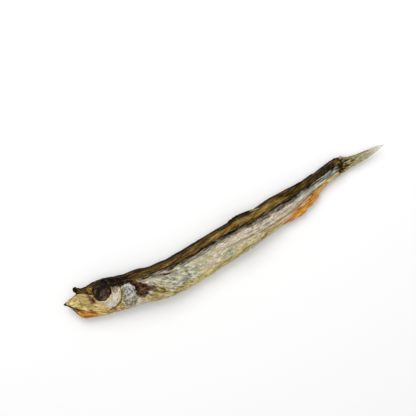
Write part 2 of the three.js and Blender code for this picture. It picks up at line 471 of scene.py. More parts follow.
def add_values(mesh: bpy.types.Mesh, grain: Array, tints: dict[Tint, Array]) -> None:
    """Writes what the finishes read on a mesh.

    Args:
        mesh: the mesh.
        grain: the place of each vertex, for the grain to follow.
        tints: for each tint, one value for each vertex.
    """
    vector = mesh.attributes.new("grain", "FLOAT_VECTOR", "POINT")
    vector.data.foreach_set("vector", grain.astype(np.float32).ravel())
    mark(mesh, {tint.value: values for tint, values in tints.items()})


def fill_mesh(name: str, points: Array, faces: list[Array]) -> bpy.types.Mesh:
    """Makes a smooth mesh.

    Args:
        name: the mesh's name.
        points: its vertices in the CAD frame, in millimetres.
        faces: arrays of corner numbers, one row for each face.

    Returns:
        The mesh, in metres.
    """
    mesh = bpy.data.meshes.new(name)
    mesh.vertices.add(len(points))
    mesh.vertices.foreach_set("co", (points * MM).astype(np.float32).ravel())
    corners = np.concatenate([block.ravel() for block in faces])
    sizes = np.concatenate([np.full(len(block), block.shape[1]) for block in faces])
    mesh.loops.add(len(corners))
    mesh.loops.foreach_set("vertex_index", corners.astype(np.int32))
    mesh.polygons.add(len(sizes))
    mesh.polygons.foreach_set("loop_start", (np.cumsum(sizes) - sizes).astype(np.int32))
    mesh.update(calc_edges=True)
    mesh.validate()
    mesh.shade_smooth()
    return mesh


def closed_skin(name: str, rings: Array, tints: dict[Tint, Array]) -> bpy.types.Object:
    """Makes a closed body over rings of points.

    Args:
        name: the piece's name.
        rings: points of the fish's frame, by ring and place round it.
        tints: values by ring and place, for each tint that the finish reads.

    Returns:
        The piece, at the origin, with its place in its mesh and its faces pointing out.
    """
    count, around = rings.shape[:2]
    at = np.arange(count * around).reshape(count, around)
    ahead, beside = at[1:], np.roll(at, -1, axis=1)
    quads = np.stack([at[:-1], ahead, beside[1:], beside[:-1]], -1).reshape(-1, 4)
    caps = []
    for ring, pole in ((0, at.size), (count - 1, at.size + 1)):
        edge = np.stack([at[ring], beside[ring]], -1)
        edge = edge if ring == 0 else edge[:, ::-1]
        caps.append(np.column_stack([np.full(around, pole), edge]))
    ends = np.stack([rings[0].mean(0), rings[-1].mean(0)])
    flat = np.concatenate([rings.reshape(-1, 3), ends])
    points = FORM.lay(flat)
    triangles = np.concatenate([quads[:, :3], quads[:, [0, 2, 3]], *caps])
    a, b, c = (points[triangles[:, k]] for k in range(3))
    faces = [quads, *caps]
    if np.sum(a * np.cross(b, c)) < 0:
        faces = [block[:, ::-1] for block in faces]
    mesh = fill_mesh(name, points, faces)
    ended = {t: np.concatenate([v.ravel(), [v[0].mean(), v[-1].mean()]]) for t, v in tints.items()}
    add_values(mesh, Chart(flat).grain, ended)
    return put_in_scene(name, mesh)


def two_faced(px: Array, py: Array, outer: Array, inner: Array) -> Array:
    """Gives rings round a thin plate: out along its outer face and back along its inner one."""
    faces = [np.stack([px, py, z], -1) for z in (outer, inner)]
    return np.concatenate([faces[0], faces[1][:, ::-1]], axis=1)


def swell(rings: Array, height: Array) -> Array:
    """Moves each point of a closed skin out along its normal.

    Args:
        rings: the points, by ring and place round it.
        height: how far each one moves, in millimetres.

    Returns:
        The moved points.
    """
    along = np.gradient(rings, axis=0)
    around = np.roll(rings, -1, axis=1) - np.roll(rings, 1, axis=1)
    normal = np.cross(around, along)
    normal /= np.linalg.norm(normal, axis=-1, keepdims=True) + 1e-9
    return rings + normal * height[..., None]


def finish_piece(piece: bpy.types.Object, node: str, slot: str, *materials: bpy.types.Material) -> None:
    """Gives a piece its materials and says which CAD node it stands for.

    Args:
        piece: the finished piece.
        node: the CAD node that it replaces.
        slot: the record's material slot; not used.
        materials: materials to add; a piece that has them already takes none.
    """
    for material in materials:
        piece.data.materials.append(material)
    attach(piece, BODY)
    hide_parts(node)
    log.info("%s: %d faces, stands for %s", piece.name, len(piece.data.polygons), node)


# ---- Finishes --------------------------------------------------------------------------------

Socket = bpy.types.NodeSocket


class NodeMaker:
    """Adds nodes to one tree and joins them."""

    def __init__(self, tree: bpy.types.NodeTree) -> None:
        """Takes the tree to add to."""
        self.tree = tree

    def plug(self, value: Socket | float | tuple, target: Socket) -> None:
        """Links or sets one input.

        Args:
            value: a socket to link, or a plain value.
            target: the input.
        """
        if isinstance(value, bpy.types.NodeSocket):
            self.tree.links.new(value, target)
        elif isinstance(value, tuple) and target.type == "RGBA":
            target.default_value = (*value, 1)
        else:
            target.default_value = value

    def fill(self, node: bpy.types.Node, inputs: dict[str | int, Socket | float | tuple]) -> None:
        """Links or sets a node's inputs, by name or number."""
        for key, value in inputs.items():
            self.plug(value, node.inputs[key])

    def add(self, kind: str, operation: str = "", **inputs: Socket | float | tuple) -> bpy.types.Node:
        """Adds a node.

        Args:
            kind: the node's type.
            operation: what it does, where its type has a choice.
            inputs: a socket or value for each of its inputs, named with _ for each space.

        Returns:
            The node.
        """
        node = self.tree.nodes.new(kind)
        if operation:
            node.operation = operation
        self.fill(node, {name.replace("_", " "): value for name, value in inputs.items()})
        return node

    def step(self, kind: str, first: Socket | float, second: Socket | float = 0.0) -> Socket:
        """Adds one step of arithmetic.

        Args:
            kind: the step, such as ADD or MULTIPLY.
            first: the first number.
            second: the second number, where the step takes one.

        Returns:
            The result.
        """
        node = self.add("ShaderNodeMath", kind)
        self.fill(node, {0: first, 1: second})
        return node.outputs["Value"]


class Wiring(NodeMaker):
    """Builds one material's nodes."""

    def __init__(self, name: str) -> None:
        """Starts a material that holds only its main shader.

        Args:
            name: the material's name.
        """
        self.material = bpy.data.materials.new(name)
        self.material.use_nodes = True
        super().__init__(self.material.node_tree)
        self.shader = self.tree.nodes["Principled BSDF"]

    def read(self, name: str, vector: bool = False) -> Socket:
        """Reads one of the mesh's own attributes.

        Args:
            name: the attribute's name.
            vector: whether it has three numbers.

        Returns:
            Its value.
        """
        node = self.add("ShaderNodeAttribute")
        node.attribute_name = name
        return node.outputs["Vector" if vector else "Fac"]

    def noise(self, place: Socket, cells: tuple, detail: float = 3.0, shift: float = 0.0) -> Socket:
        """Adds a noise.

        Args:
            place: the coordinates that it is read at.
            cells: how many cells it has to a millimetre, each way.
            detail: how many times finer cells are added.
            shift: how far it is moved.

        Returns:
            A value from 0 to 1.
        """
        offset = (shift, shift * 0.7, shift * 1.3)
        moved = self.add("ShaderNodeMapping", Scale=cells, Location=offset, Vector=place)
        node = self.add("ShaderNodeTexNoise", Scale=1.0, Detail=detail, Roughness=0.6, Distortion=0.35)
        self.plug(moved.outputs["Vector"], node.inputs["Vector"])
        return node.outputs["Fac"]

    def span(self, value: Socket, low: float, high: float, start: float = 0.0, end: float = 1.0) -> Socket:
        """Eases one range of values into another.

        Args:
            value: the value to ease.
            low: the start of its own range.
            high: the end of its own range.
            start: what low becomes.
            end: what high becomes.

        Returns:
            The eased value.
        """
        node = self.add(
            "ShaderNodeMapRange", Value=value, From_Min=low, From_Max=high, To_Min=start, To_Max=end,
        )
        node.interpolation_type = "SMOOTHSTEP"
        return node.outputs["Result"]

    def mix(
        self, share: Socket, low: Socket | Colour, high: Socket | Colour, kind: str = "MIX",
    ) -> Socket:
        """Mixes two colours.

        Args:
            share: how much the second one counts.
            low: the first colour.
            high: the second colour.
            kind: MIX, or MULTIPLY to stain the first with the second.

        Returns:
            The mixed colour.
        """
        node = self.add("ShaderNodeMix")
        node.data_type = "RGBA"
        node.blend_type = kind
        self.fill(node, {0: share, 6: low, 7: high})
        return node.outputs[2]

    def blend(self, share: Socket, low: Socket | float, high: float) -> Socket:
        """Mixes two numbers.

        Args:
            share: how much the second one counts.
            low: the first number.
            high: the second number.

        Returns:
            The mixed number.
        """
        node = self.add("ShaderNodeMix")
        self.fill(node, {0: share, 2: low, 3: high})
        return node.outputs[0]

    def bump(self, height: Socket, depth: float) -> None:
        """Roughens the surface by a height in millimetres."""
        node = self.add("ShaderNodeBump", Strength=1.0, Distance=depth * MM, Height=height)
        self.plug(node.outputs["Normal"], self.shader.inputs["Normal"])


@dataclass(frozen=True)
class Layer:
    """One stain of a finish: where it lies, its two shades, and the grain between them."""

    light: Screen
    dark: Screen
    tint: Tint | None = None
    grain: tuple[float, float, float] = (0.35, 1.8, 1.8)  # cells to a millimetre
    ragged: float = 0.5
    rough: float = 0.5
    metal: float = 0.0
    # pale: how much painted highlight the wrinkles of this stain take
    pale: float = 1.0  # how much its wrinkles catch the light


@dataclass(frozen=True)
class Finish:
    """A dried surface of several stains laid over each other, creased and finely wrinkled, with shade
    painted into its creases and highlights painted on its crests.
    """

    name: str
    layers: tuple[Layer, ...]
    # painted shade: the colour that creases and wrinkle hollows are darkened towards
    crease_shade_colour: Colour = (0.16, 0.115, 0.065)  # what is left of the colour at the bottom of a crease
    crease_shade_share: float = 0.75
    # painted highlight on wrinkle crests: its colour, and how much of it they take
    crest_highlight: Colour = shade(250, 246, 236)
    crest_highlight_share: float = 0.3
    wrinkle: tuple[float, float, float] = (0.8, 2.0, 2.0)
    # how much painted shade the hollows of the fine wrinkles take
    wrinkle_shade_share: float = 0.22
    wrinkle_depth: float = 0.1
    shine: float = 0.12
    thin_from: float = 2.0  # past this share of the way out, the web gets thin
    thin_alpha: float = 0.3

    def material(self) -> bpy.types.Material:
        """Builds the finish's nodes.

        Returns:
            The material, which reads the grain and tint attributes of the piece that it is on.
        """
        w = Wiring(self.name)
        place = w.read("grain", vector=True)
        colour, rough, metal, pale = None, None, None, 1.0
        for number, layer in enumerate(self.layers):
            streaks = w.noise(place, layer.grain, 4.0, 11.3 * number)
            own = w.mix(w.span(streaks, 0.36, 0.62), shade(*layer.dark), shade(*layer.light))
            if layer.tint is None:
                colour, rough, metal = own, layer.rough, layer.metal
                continue
            patches = w.noise(place, tuple(0.55 * g for g in layer.grain), 3.0, 5.1 + 7.7 * number)
            frayed = w.step("MULTIPLY", w.step("SUBTRACT", patches, 0.5), 2 * layer.ragged)
            stain = w.read(layer.tint.value)
            share = w.span(w.step("ADD", stain, frayed), 0.2, 0.8)
            share = w.step("MULTIPLY", share, w.span(stain, 0.0, 0.25))
            colour = w.mix(share, colour, own)
            rough = w.blend(share, rough, layer.rough)
            metal = w.blend(share, metal, layer.metal)
            pale = w.blend(share, pale, layer.pale)
        # Painted highlight on the crests of the fine wrinkles and of the modelled folds, then painted
        # shade in their hollows and creases.
        fine = w.noise(place, self.wrinkle, 4.0, 3.3)
        ridge = w.span(w.step("ABSOLUTE", w.step("SUBTRACT", fine, 0.5)), 0.0, 0.14)
        crest_highlight = w.step("MULTIPLY", w.read(Tint.CREST_HIGHLIGHT.value), w.step("MULTIPLY", ridge, self.crest_highlight_share))
        colour = w.mix(w.step("MULTIPLY", crest_highlight, pale), colour, self.crest_highlight)
        hollow = w.step("MULTIPLY", w.step("SUBTRACT", 1.0, ridge), self.wrinkle_shade_share)
        hollow = w.step("ADD", w.step("MULTIPLY", w.read(Tint.CREASE_SHADE.value), self.crease_shade_share), hollow)
        colour = w.mix(w.step("MINIMUM", hollow, 0.95), colour, self.crease_shade_colour, "MULTIPLY")
        w.fill(w.shader, {
            "Base Color": colour, "Roughness": rough, "Metallic": metal, "Specular IOR Level": self.shine,
        })
        w.bump(ridge, self.wrinkle_depth)
        if self.thin_from < 1:
            out = w.read(Tint.OUT.value)
            frayed = w.step("ADD", out, w.step("MULTIPLY", w.step("SUBTRACT", fine, 0.5), 0.5))
            w.plug(w.span(frayed, self.thin_from, 1.1, 1.0, self.thin_alpha), w.shader.inputs["Alpha"])
        return w.material


SKIN = Finish(
    "dried_skin",
    (
        Layer((244, 235, 206), (196, 183, 146), grain=(0.5, 1.0, 1.0), rough=0.42, metal=0.08),
        Layer((226, 227, 204), (164, 163, 132), Tint.MOSS, (0.5, 0.7, 0.7), 0.7, 0.45, 0.08),
        Layer((246, 230, 152), (200, 174, 94), Tint.OLIVE, (0.3, 0.6, 0.6), 0.8),
        Layer((252, 240, 220), (226, 206, 176), Tint.PINK, (0.6, 1.0, 1.0), 0.7, 0.4, 0.08),
        Layer((252, 234, 196), (238, 200, 142), Tint.AMBER, (0.25, 1.2, 1.2), 0.7, 0.42),
        Layer((244, 182, 74), (204, 122, 34), Tint.ORANGE, (0.2, 1.4, 1.4), 0.6, 0.38),
        Layer((170, 175, 166), (24, 25, 21), Tint.STEEL, (0.16, 1.8, 1.8), 0.5, 0.4, 0.15, 0.8),
        Layer((166, 156, 136), (34, 26, 17), Tint.SLATE, (0.2, 1.6, 1.6), 0.6, 0.5, 0.05, 0.6),
        Layer((226, 196, 122), (160, 120, 54), Tint.BEIGE, (0.7, 0.9, 0.9), 0.6, 0.5),
        Layer((250, 244, 230), (216, 200, 168), Tint.PEARL, (0.8, 0.8, 0.8), 0.5, 0.35, 0.15),
        Layer((106, 79, 26), (34, 22, 5), Tint.BACK, (0.16, 1.9, 1.9), 0.3, 0.65, 0.0, 0.12),
        Layer((164, 130, 56), (92, 68, 25), Tint.GOLD, (0.28, 1.5, 1.5), 0.6, 0.55, 0.0, 0.2),
        Layer((124, 78, 40), (34, 15, 7), Tint.BLOOD, (0.7, 1.0, 1.0), 0.9, 0.5, 0.0, 0.3),
        Layer((34, 23, 10), (8, 4, 2), Tint.DARK, (0.4, 1.4, 1.4), 0.9, 0.7, 0.0, 0.1),
    ),
    crease_shade_colour=(0.13, 0.09, 0.05),
    crease_shade_share=0.8,
    crest_highlight_share=0.45,
    wrinkle=(0.5, 1.7, 1.7),
    shine=0.05,
)

JAW = Finish(
    "jaw_skin",
    (
        Layer((244, 224, 150), (188, 154, 74), grain=(0.3, 1.3, 1.3), rough=0.4),
        Layer((210, 186, 118), (152, 124, 66), Tint.BEIGE, (0.25, 1.1, 1.1), 0.4, 0.42),
        Layer((242, 174, 46), (160, 86, 12), Tint.ORANGE, (0.5, 1.2, 1.2), 0.5, 0.35),
        Layer((136, 84, 36), (66, 32, 10), Tint.BLOOD, (0.6, 1.2, 1.2), 0.5, 0.4),
        Layer((52, 44, 22), (12, 9, 5), Tint.DARK, (0.5, 1.4, 1.4), 0.3, 0.4, 0.0, 0.1),
    ),
    wrinkle_depth=0.08,
)

SILVER = Finish(
    "silver_bone",
    (
        Layer((248, 252, 248), (168, 177, 167), grain=(0.7, 1.1, 1.1), rough=0.36, metal=0.1),
        Layer((198, 192, 156), (128, 118, 84), Tint.BEIGE, (0.8, 1.4, 1.4), 0.9),
        Layer((104, 62, 28), (48, 22, 8), Tint.BLOOD, (1.0, 1.4, 1.4), 0.7),
    ),
    crease_shade_share=0.9,
    crest_highlight_share=0.6,
    wrinkle=(1.2, 2.4, 2.4),
    wrinkle_depth=0.08,
)

EYE = Finish(
    "dried_eye",
    (
        Layer((104, 74, 38), (44, 28, 12), grain=(0.5, 0.5, 0.5), rough=0.35),
        Layer((150, 118, 80), (96, 66, 34), Tint.BEIGE, (0.8, 0.8, 0.8), 0.4, 0.35),
        Layer((30, 18, 9), (10, 6, 3), Tint.DARK, (0.8, 0.8, 0.8), 0.3, 0.32, 0.0, 0.1),
    ),
    crest_highlight_share=0.1,
    wrinkle=(1.2, 1.2, 1.2),
    wrinkle_depth=0.06,
)

WEB = Finish(
    "fin_web",
    (
        Layer((218, 208, 160), (176, 164, 112), grain=(0.4, 1.6, 1.6), rough=0.5),
        Layer((240, 218, 164), (204, 170, 106), Tint.BEIGE, (0.4, 1.2, 1.2), 0.5),
        Layer((52, 38, 16), (16, 10, 4), Tint.DARK, (0.5, 1.2, 1.2), 0.7, 0.5, 0.0, 0.1),
    ),
    shine=0.05,
    thin_from=0.05,
    thin_alpha=0.12,
)

RAY = Finish(
    "fin_ray",
    (
        Layer((190, 178, 124), (122, 108, 62), grain=(0.3, 1.6, 1.6), rough=0.5),
        Layer((236, 208, 146), (190, 152, 88), Tint.BEIGE, (0.4, 1.2, 1.2), 0.5),
        Layer((60, 46, 20), (18, 12, 4), Tint.DARK, (0.5, 1.2, 1.2), 0.8, 0.5, 0.0, 0.1),
    ),
    shine=0.05,
    thin_from=0.25,
    thin_alpha=0.1,
)

AMBER_WEB = Finish(
    "amber_web",
    (
        Layer((228, 170, 60), (180, 108, 24), grain=(0.25, 1.4, 1.4), rough=0.38),
        Layer((214, 138, 48), (160, 82, 16), Tint.DARK, (0.25, 1.4, 1.4), 0.6, 0.4),
    ),
    crest_highlight_share=0.15,
    wrinkle=(0.4, 1.6, 1.6),
    wrinkle_depth=0.06,
    thin_from=0.85,
    thin_alpha=0.7,
)

AMBER_RAY = Finish(
    "amber_ray",
    (
        Layer((232, 166, 58), (186, 110, 26), grain=(0.8, 1.2, 1.2), rough=0.4),
        Layer((176, 96, 24), (120, 54, 10), Tint.DARK, (0.5, 1.4, 1.4), 0.6, 0.4),
    ),
)


# ---- Trunk and head --------------------------------------------------------------------------


@dataclass
class Trunk:
    """Head and trunk in one skin, with everything that drying has drawn on it, and painted shade and
    highlight.
    """

    stations: int = 560
    around: int = 168
    front_x: float = FORM.front_x
    end_x: float = FORM.end_x
    crowding: float = 1.12  # how much closer together its sections are at the head
    groove_start: float = 31
    groove_end: float = 128
    eye_x: float = 17.1
    eye_y: float = 3.65
    eye_radius: float = 4.05
    groove: Profile = Profile(
        (6.3, 6.9), (9.3, 6.2), (12.1, 4.2), (16.5, 3.6), (20.4, 4.0), (26, 2.4), (31.6, 1.9),
        (37.2, 1.6), (41.4, 1.3), (47.3, 0.75), (54, 0.5), (58.2, 0.75), (66.5, 1.9), (74.9, 2.4),
        (83.3, 2.7), (87.5, 2.5), (95.9, 3.4), (101.4, 3.9), (105.6, 4.35), (109.8, 4.95), (114, 5.6),
        (119.1, 6.4), (122.5, 7.2), (126.7, 7.9), (131.6, 8.5),
    )
    steel_edge: Profile = Profile(
        (90, 2.2), (100, 2.4), (108.4, 2.9), (116.8, 4.5), (123, 5.3), (131.6, 5.8),
    )
    amber_edge: Profile = Profile(
        (92, -4.6), (97, -0.9), (105.6, 0.6), (109.8, 1.9), (114, 3.1), (118.3, 4.0), (131.6, 5.4),
    )
    crease_line: Path = (
        (71, -2.6), (80, -2.6), (88, -2.9), (96, -2.2), (104, -0.9), (112, 1.4), (119, 3.2),
    )
    fin_base: Path = ((96, -2.0), (101, -1.6), (105.6, -1.0), (109.8, 0.6), (114, 2.0), (118.3, 3.2))
    upper_crease: Path = (
        (60, -0.6), (68, -1.0), (76, -0.4), (84, -1.2), (92, -0.9), (100, 0.4), (108, 1.6),
    )
    groove_fold: Path = (
        (33, 0.8), (38.5, 0.3), (41, 0.0), (44, -1.3), (45.7, -1.8), (47.2, -0.9), (51.2, -0.3),
        (55.4, -0.5), (59.6, -0.2), (64, 0.7), (70, 1.1), (76, 1.1),
    )
    pale_flank: Path = ((82, -1.0), (94, -0.4), (103, 0.4), (110, 1.9), (117, 4.0))
    scale_length: float = 1.7
    scale_height: float = 1.0
    bead_length: float = 1.7  # of the knobs in a row under the back, ahead of the tail
    bead_y: float = 6.3
    keel_fold: Path = ((66, -8.3), (76, -7.2), (87, -5.5), (97, -3.4))
    cheek_bone: Path = (
        (25.2, 2.4), (24.8, 0.2), (24.1, -1.5), (23.1, -3.0), (21.8, -3.8), (19.8, -4.6), (16, -4.9),
    )
    collar_bone: Path = ((32.0, -1.2), (33.6, -2.4), (33.2, -4.6))
    brow: Path = ((8.0, 7.6), (11.5, 7.2), (15, 8.0), (20, 7.4), (26, 5.4))
    nape: Path = ((18, 7.0), (27, 4.8), (38, 3.2))
    gill_slit: Path = ((27.6, 3.4), (30.0, 1.8), (31.2, -0.6), (31.0, -3.0))
    tail_knuckle: Path = ((129.4, 10.6), (130.2, 8.6), (129.6, 6.8), (130.2, 5.0))
    # Each spot has its middle, half length, half height, lean in degrees, and strength.
    blood_spots: Spots = (
        (32.4, -3.0, 3.6, 3.6, -15, 1.0), (30.8, 0.6, 1.8, 2.8, -12, 1.0),
        (36.0, -4.6, 3.2, 2.2, -10, 0.6), (25.5, 3.2, 4.4, 1.9, -18, 0.5),
        (22.6, 4.2, 3.0, 2.3, -20, 0.45), (22.8, 2.6, 1.9, 2.3, -20, 0.6),
        (39.6, -6.2, 3.4, 1.6, -35, 0.5),
    )
    moss_spots: Spots = ((50, -6, 13, 4.2, 0, 0.7), (41, -2.6, 6, 2.4, 0, 0.6), (65, -1.4, 8, 3.0, 0, 0.6))
    olive_spots: Spots = (
        (40, -7.0, 5, 2.2, 0, 0.7), (78, -6.2, 5.0, 1.8, 10, 1.0), (64, -7.0, 8, 2.2, 0, 0.5),
        (66, -3.0, 9, 3.2, 0, 0.45),
    )
    # Here the last number is how far the skin swells, in millimetres, or sinks where it is below 0.
    swellings: Spots = (
        (18.4, -1.2, 4.6, 2.6, 15, 0.3), (27.0, -2.4, 2.8, 4.4, -10, -0.4),
        (32.2, -3.0, 2.4, 3.6, -12, -0.8), (10.6, 3.4, 2.2, 1.7, -40, -0.35),
        (6.9, 9.0, 0.9, 0.8, 0, 0.55), (86, 7.3, 8, 1.1, -8, -0.5),
    )

    def build(self) -> bpy.types.Object:
        """Makes the finished trunk.

        Returns:
            The piece.
        """
        share = np.linspace(0, 1, self.stations) ** self.crowding
        x = self.front_x + (self.end_x - self.front_x) * share
        rings = self.pinch(FORM.ring(x, self.around))
        chart = Chart(rings)
        tints = self.stains(chart)
        height = self.anatomy(chart) + self.wrinkles(chart, tints)
        piece = closed_skin("fish_body", swell(rings, height), tints)
        finish_piece(piece, "body", "skin", SKIN.material())
        return piece

    def round_eye(self, chart: Chart) -> tuple[Array, Array]:
        """Finds where points are round the eye.

        Args:
            chart: where the points of the skin are.

        Returns:
            How far each point is from the eye's middle, and how much above and ahead of it.
        """
        right, up = chart.x - self.eye_x, chart.y - self.eye_y
        away = np.hypot(right, up)
        return away, (0.85 * up - 0.5 * right) / (away + 0.1)

    def pinch(self, rings: Array) -> Array:
        """Thins the plain form to a keel over the anal fin, to a ridge on the back, and at its end.

        Args:
            rings: the plain form, by section and place round it.

        Returns:
            The thinned form.
        """
        x = rings[..., 0]
        middle, half, _ = FORM.section(x)
        level = (rings[..., 1] - middle) / half
        keel = ease(-level, 0.1, 1.0) * ease(x, 92, 102) * fade(x, 122, 128)
        ridge = ease(level, 0.4, 1.0) * ease(x, 70, 80)
        end = ease(x, 125.5, self.end_x)
        pinched = rings.copy()
        pinched[..., 2] *= (1 - 0.6 * keel) * (1 - 0.15 * ridge) * (1 - 0.6 * end)
        pinched[..., 1] = middle + (rings[..., 1] - middle) * (1 - 0.3 * ease(x, 130, self.end_x + 0.6))
        torn = Noise(29)(rings * np.array([0, 1, 1]), (1.0, 1.1, 1.1), 2)
        pinched[..., 0] -= (0.5 + 0.8 * torn) * ease(x, 128.5, self.end_x)
        return pinched

    def anatomy(self, chart: Chart) -> Array:
        """Models the bones, sockets, grooves and folds.

        Args:
            chart: where the points of the skin are.

        Returns:
            How far each point stands above the plain form, in millimetres.
        """
        x, y = chart.x, chart.y
        away, upper_front = self.round_eye(chart)
        uneven = Noise(33)(chart.grain, (2.2, 2.2, 2.2), 2)
        lid = self.eye_radius - 0.9 * ease(upper_front, -0.2, 0.9) + 0.25 * uneven
        under_back = chart.reach(self.groove_start, self.groove_end, 3)
        places = np.arange(self.groove_start, self.groove_end, 3)
        line = tuple((at, float(self.groove(at))) for at in places)
        height = -0.65 * chart.near(line, 0.6) * under_back
        height += 0.35 * ease(y - self.groove(x), 0.3, 1.6) * under_back
        height -= 1.5 * fade(away - lid, -0.8, 0.2)
        height += 0.4 * bell(away - lid - 0.5, 0.4)
        for path, width, rise in (
            (self.crease_line, 0.35, -0.3), (self.upper_crease, 0.35, -0.2), (self.keel_fold, 0.4, -0.35),
            (self.groove_fold, 0.3, -0.4), (self.fin_base, 0.35, -0.3), (self.cheek_bone, 0.4, 0.4),
            (self.collar_bone, 0.4, 0.45), (self.brow, 0.5, 0.3), (self.tail_knuckle, 0.7, 0.35),
        ):
            height += rise * chart.near(path, width)
        for *place, rise in self.swellings:
            height += rise * chart.spot(*place)
        return height

    def wrinkles(self, chart: Chart, tints: dict[Tint, Array]) -> Array:
        """Models the wrinkles, and adds the painted shade of their creases and the painted highlight on
        their crests to the tints.

        Args:
            chart: where the points of the skin are.
            tints: where each colour lies.

        Returns:
            How far each point is raised, in millimetres.
        """
        back = tints[Tint.BACK]
        head = fade(chart.x, 27, 33)
        tail = ease(chart.x, 92, 112)
        below = self.groove(chart.x) - chart.y
        flank = (1 - back) * (1 - head) * (1 - tail)
        drawn = bell(below - 1.3, 1.5) * flank
        front = fade(chart.x, 52, 64) * flank * (1 - 0.8 * drawn)
        rear = ease(chart.x, 54, 66) * flank * (1 - 0.6 * drawn)
        slanting = Noise(11).folds(chart.grain, 5.5, 1.15, -36)
        level = Noise(12).folds(chart.grain, 6.0, 0.8, 2)
        crumpled = Noise(13).folds(chart.grain, 1.8, 1.0, 20)
        streaked = Noise(14).folds(chart.grain, 11.0, 0.8, 1)
        bony = Noise(15).folds(chart.grain, 2.2, 1.3, -30)
        hatched = Noise(20).folds(chart.grain, 2.4, 0.55, -64)
        scaly = self.scales(chart)
        away = self.round_eye(chart)[0]
        wavy = away + 0.25 * Noise(19)(chart.grain, (2.0, 2.0, 2.0), 2)
        ringed = np.abs(np.sin((wavy - 4.2) * np.pi / 0.8)) ** 0.7
        cheek = fade(away, 7.0, 8.2) * ease(away, 4.0, 4.4) * fade(chart.y, 3.5, 5.5)
        broad = Noise(22).folds(chart.grain, 8.0, 2.8, -14)
        # Each layer: its folds, their depth, where they lie, and how strongly shade is painted in their
        # creases and highlight on their crests.
        layers = (
            (broad, 0.3, flank * (1 - 0.7 * drawn), 0.3),
            (slanting, 0.34, front, 0.9),
            (crumpled, 0.2, front * 0.3 + rear * 0.2, 0.8),
            (scaly, 0.14, rear * chart.reach(60, 76, 8), 0.6),
            (hatched, 0.14, (1 - back) * chart.reach(70, 104, 8), 0.35),
            (level, 0.34, drawn + rear * 0.75, 0.8),
            (streaked, 0.2, back * (1 - head), 0.8),
            (streaked, 0.3, tail * (1 - back), 0.8),
            (bony, 0.16, head * (1 - cheek), 0.6),
            (ringed, 0.22, cheek, 0.8),
        )
        height = np.zeros(chart.x.shape)
        crease_shade = np.zeros(chart.x.shape)
        crest_highlight = np.zeros(chart.x.shape)
        for folds, depth, where, marked in layers:
            height += depth * (folds - 0.6) * where
            crease_shade = np.maximum(crease_shade, (1 - folds) ** 1.6 * np.clip(where, 0, 1) * marked)
            crest_highlight = np.maximum(crest_highlight, ease(folds, 0.5, 1.0) * np.clip(where, 0, 1) * marked)
        dents = Noise(16)(chart.grain, (7.0, 3.5, 4.0), 2)
        height += 0.35 * dents * (1 - head) * (1 - 0.6 * tail)
        knots = Noise(17)(chart.grain, (1.2, 1.1, 1.1), 2)
        height += 0.5 * knots * ease(chart.x, 126.5, 129.5)
        beads = np.sin(2 * np.pi * chart.x / self.bead_length)
        beads *= np.exp(-((chart.y - self.bead_y) ** 2) / 0.3)
        height += 0.12 * beads * chart.reach(90, 104, 3)
        tints[Tint.CREASE_SHADE] = crease_shade
        tints[Tint.CREST_HIGHLIGHT] = crest_highlight
        return height

    def scales(self, chart: Chart) -> Array:
        """Models rows of small swollen scales.

        Args:
            chart: where the points of the skin are.

        Returns:
            One value for each point, 1 on the middle of a scale and 0 between scales.
        """
        wander = Noise(18)
        x = chart.x + 0.8 * wander(chart.grain, (4.0, 2.0, 2.0), 2)
        y = chart.grain[..., 1] + 0.5 * wander(chart.grain + 9.1, (4.0, 3.0, 3.0), 2)
        row = np.floor(y / self.scale_height)
        across = np.abs(np.sin(np.pi * (x / self.scale_length + 0.5 * np.mod(row, 2))))
        up = np.abs(np.sin(np.pi * y / self.scale_height))
        return np.clip(1.5 * (across * up) ** 0.5, 0, 1)

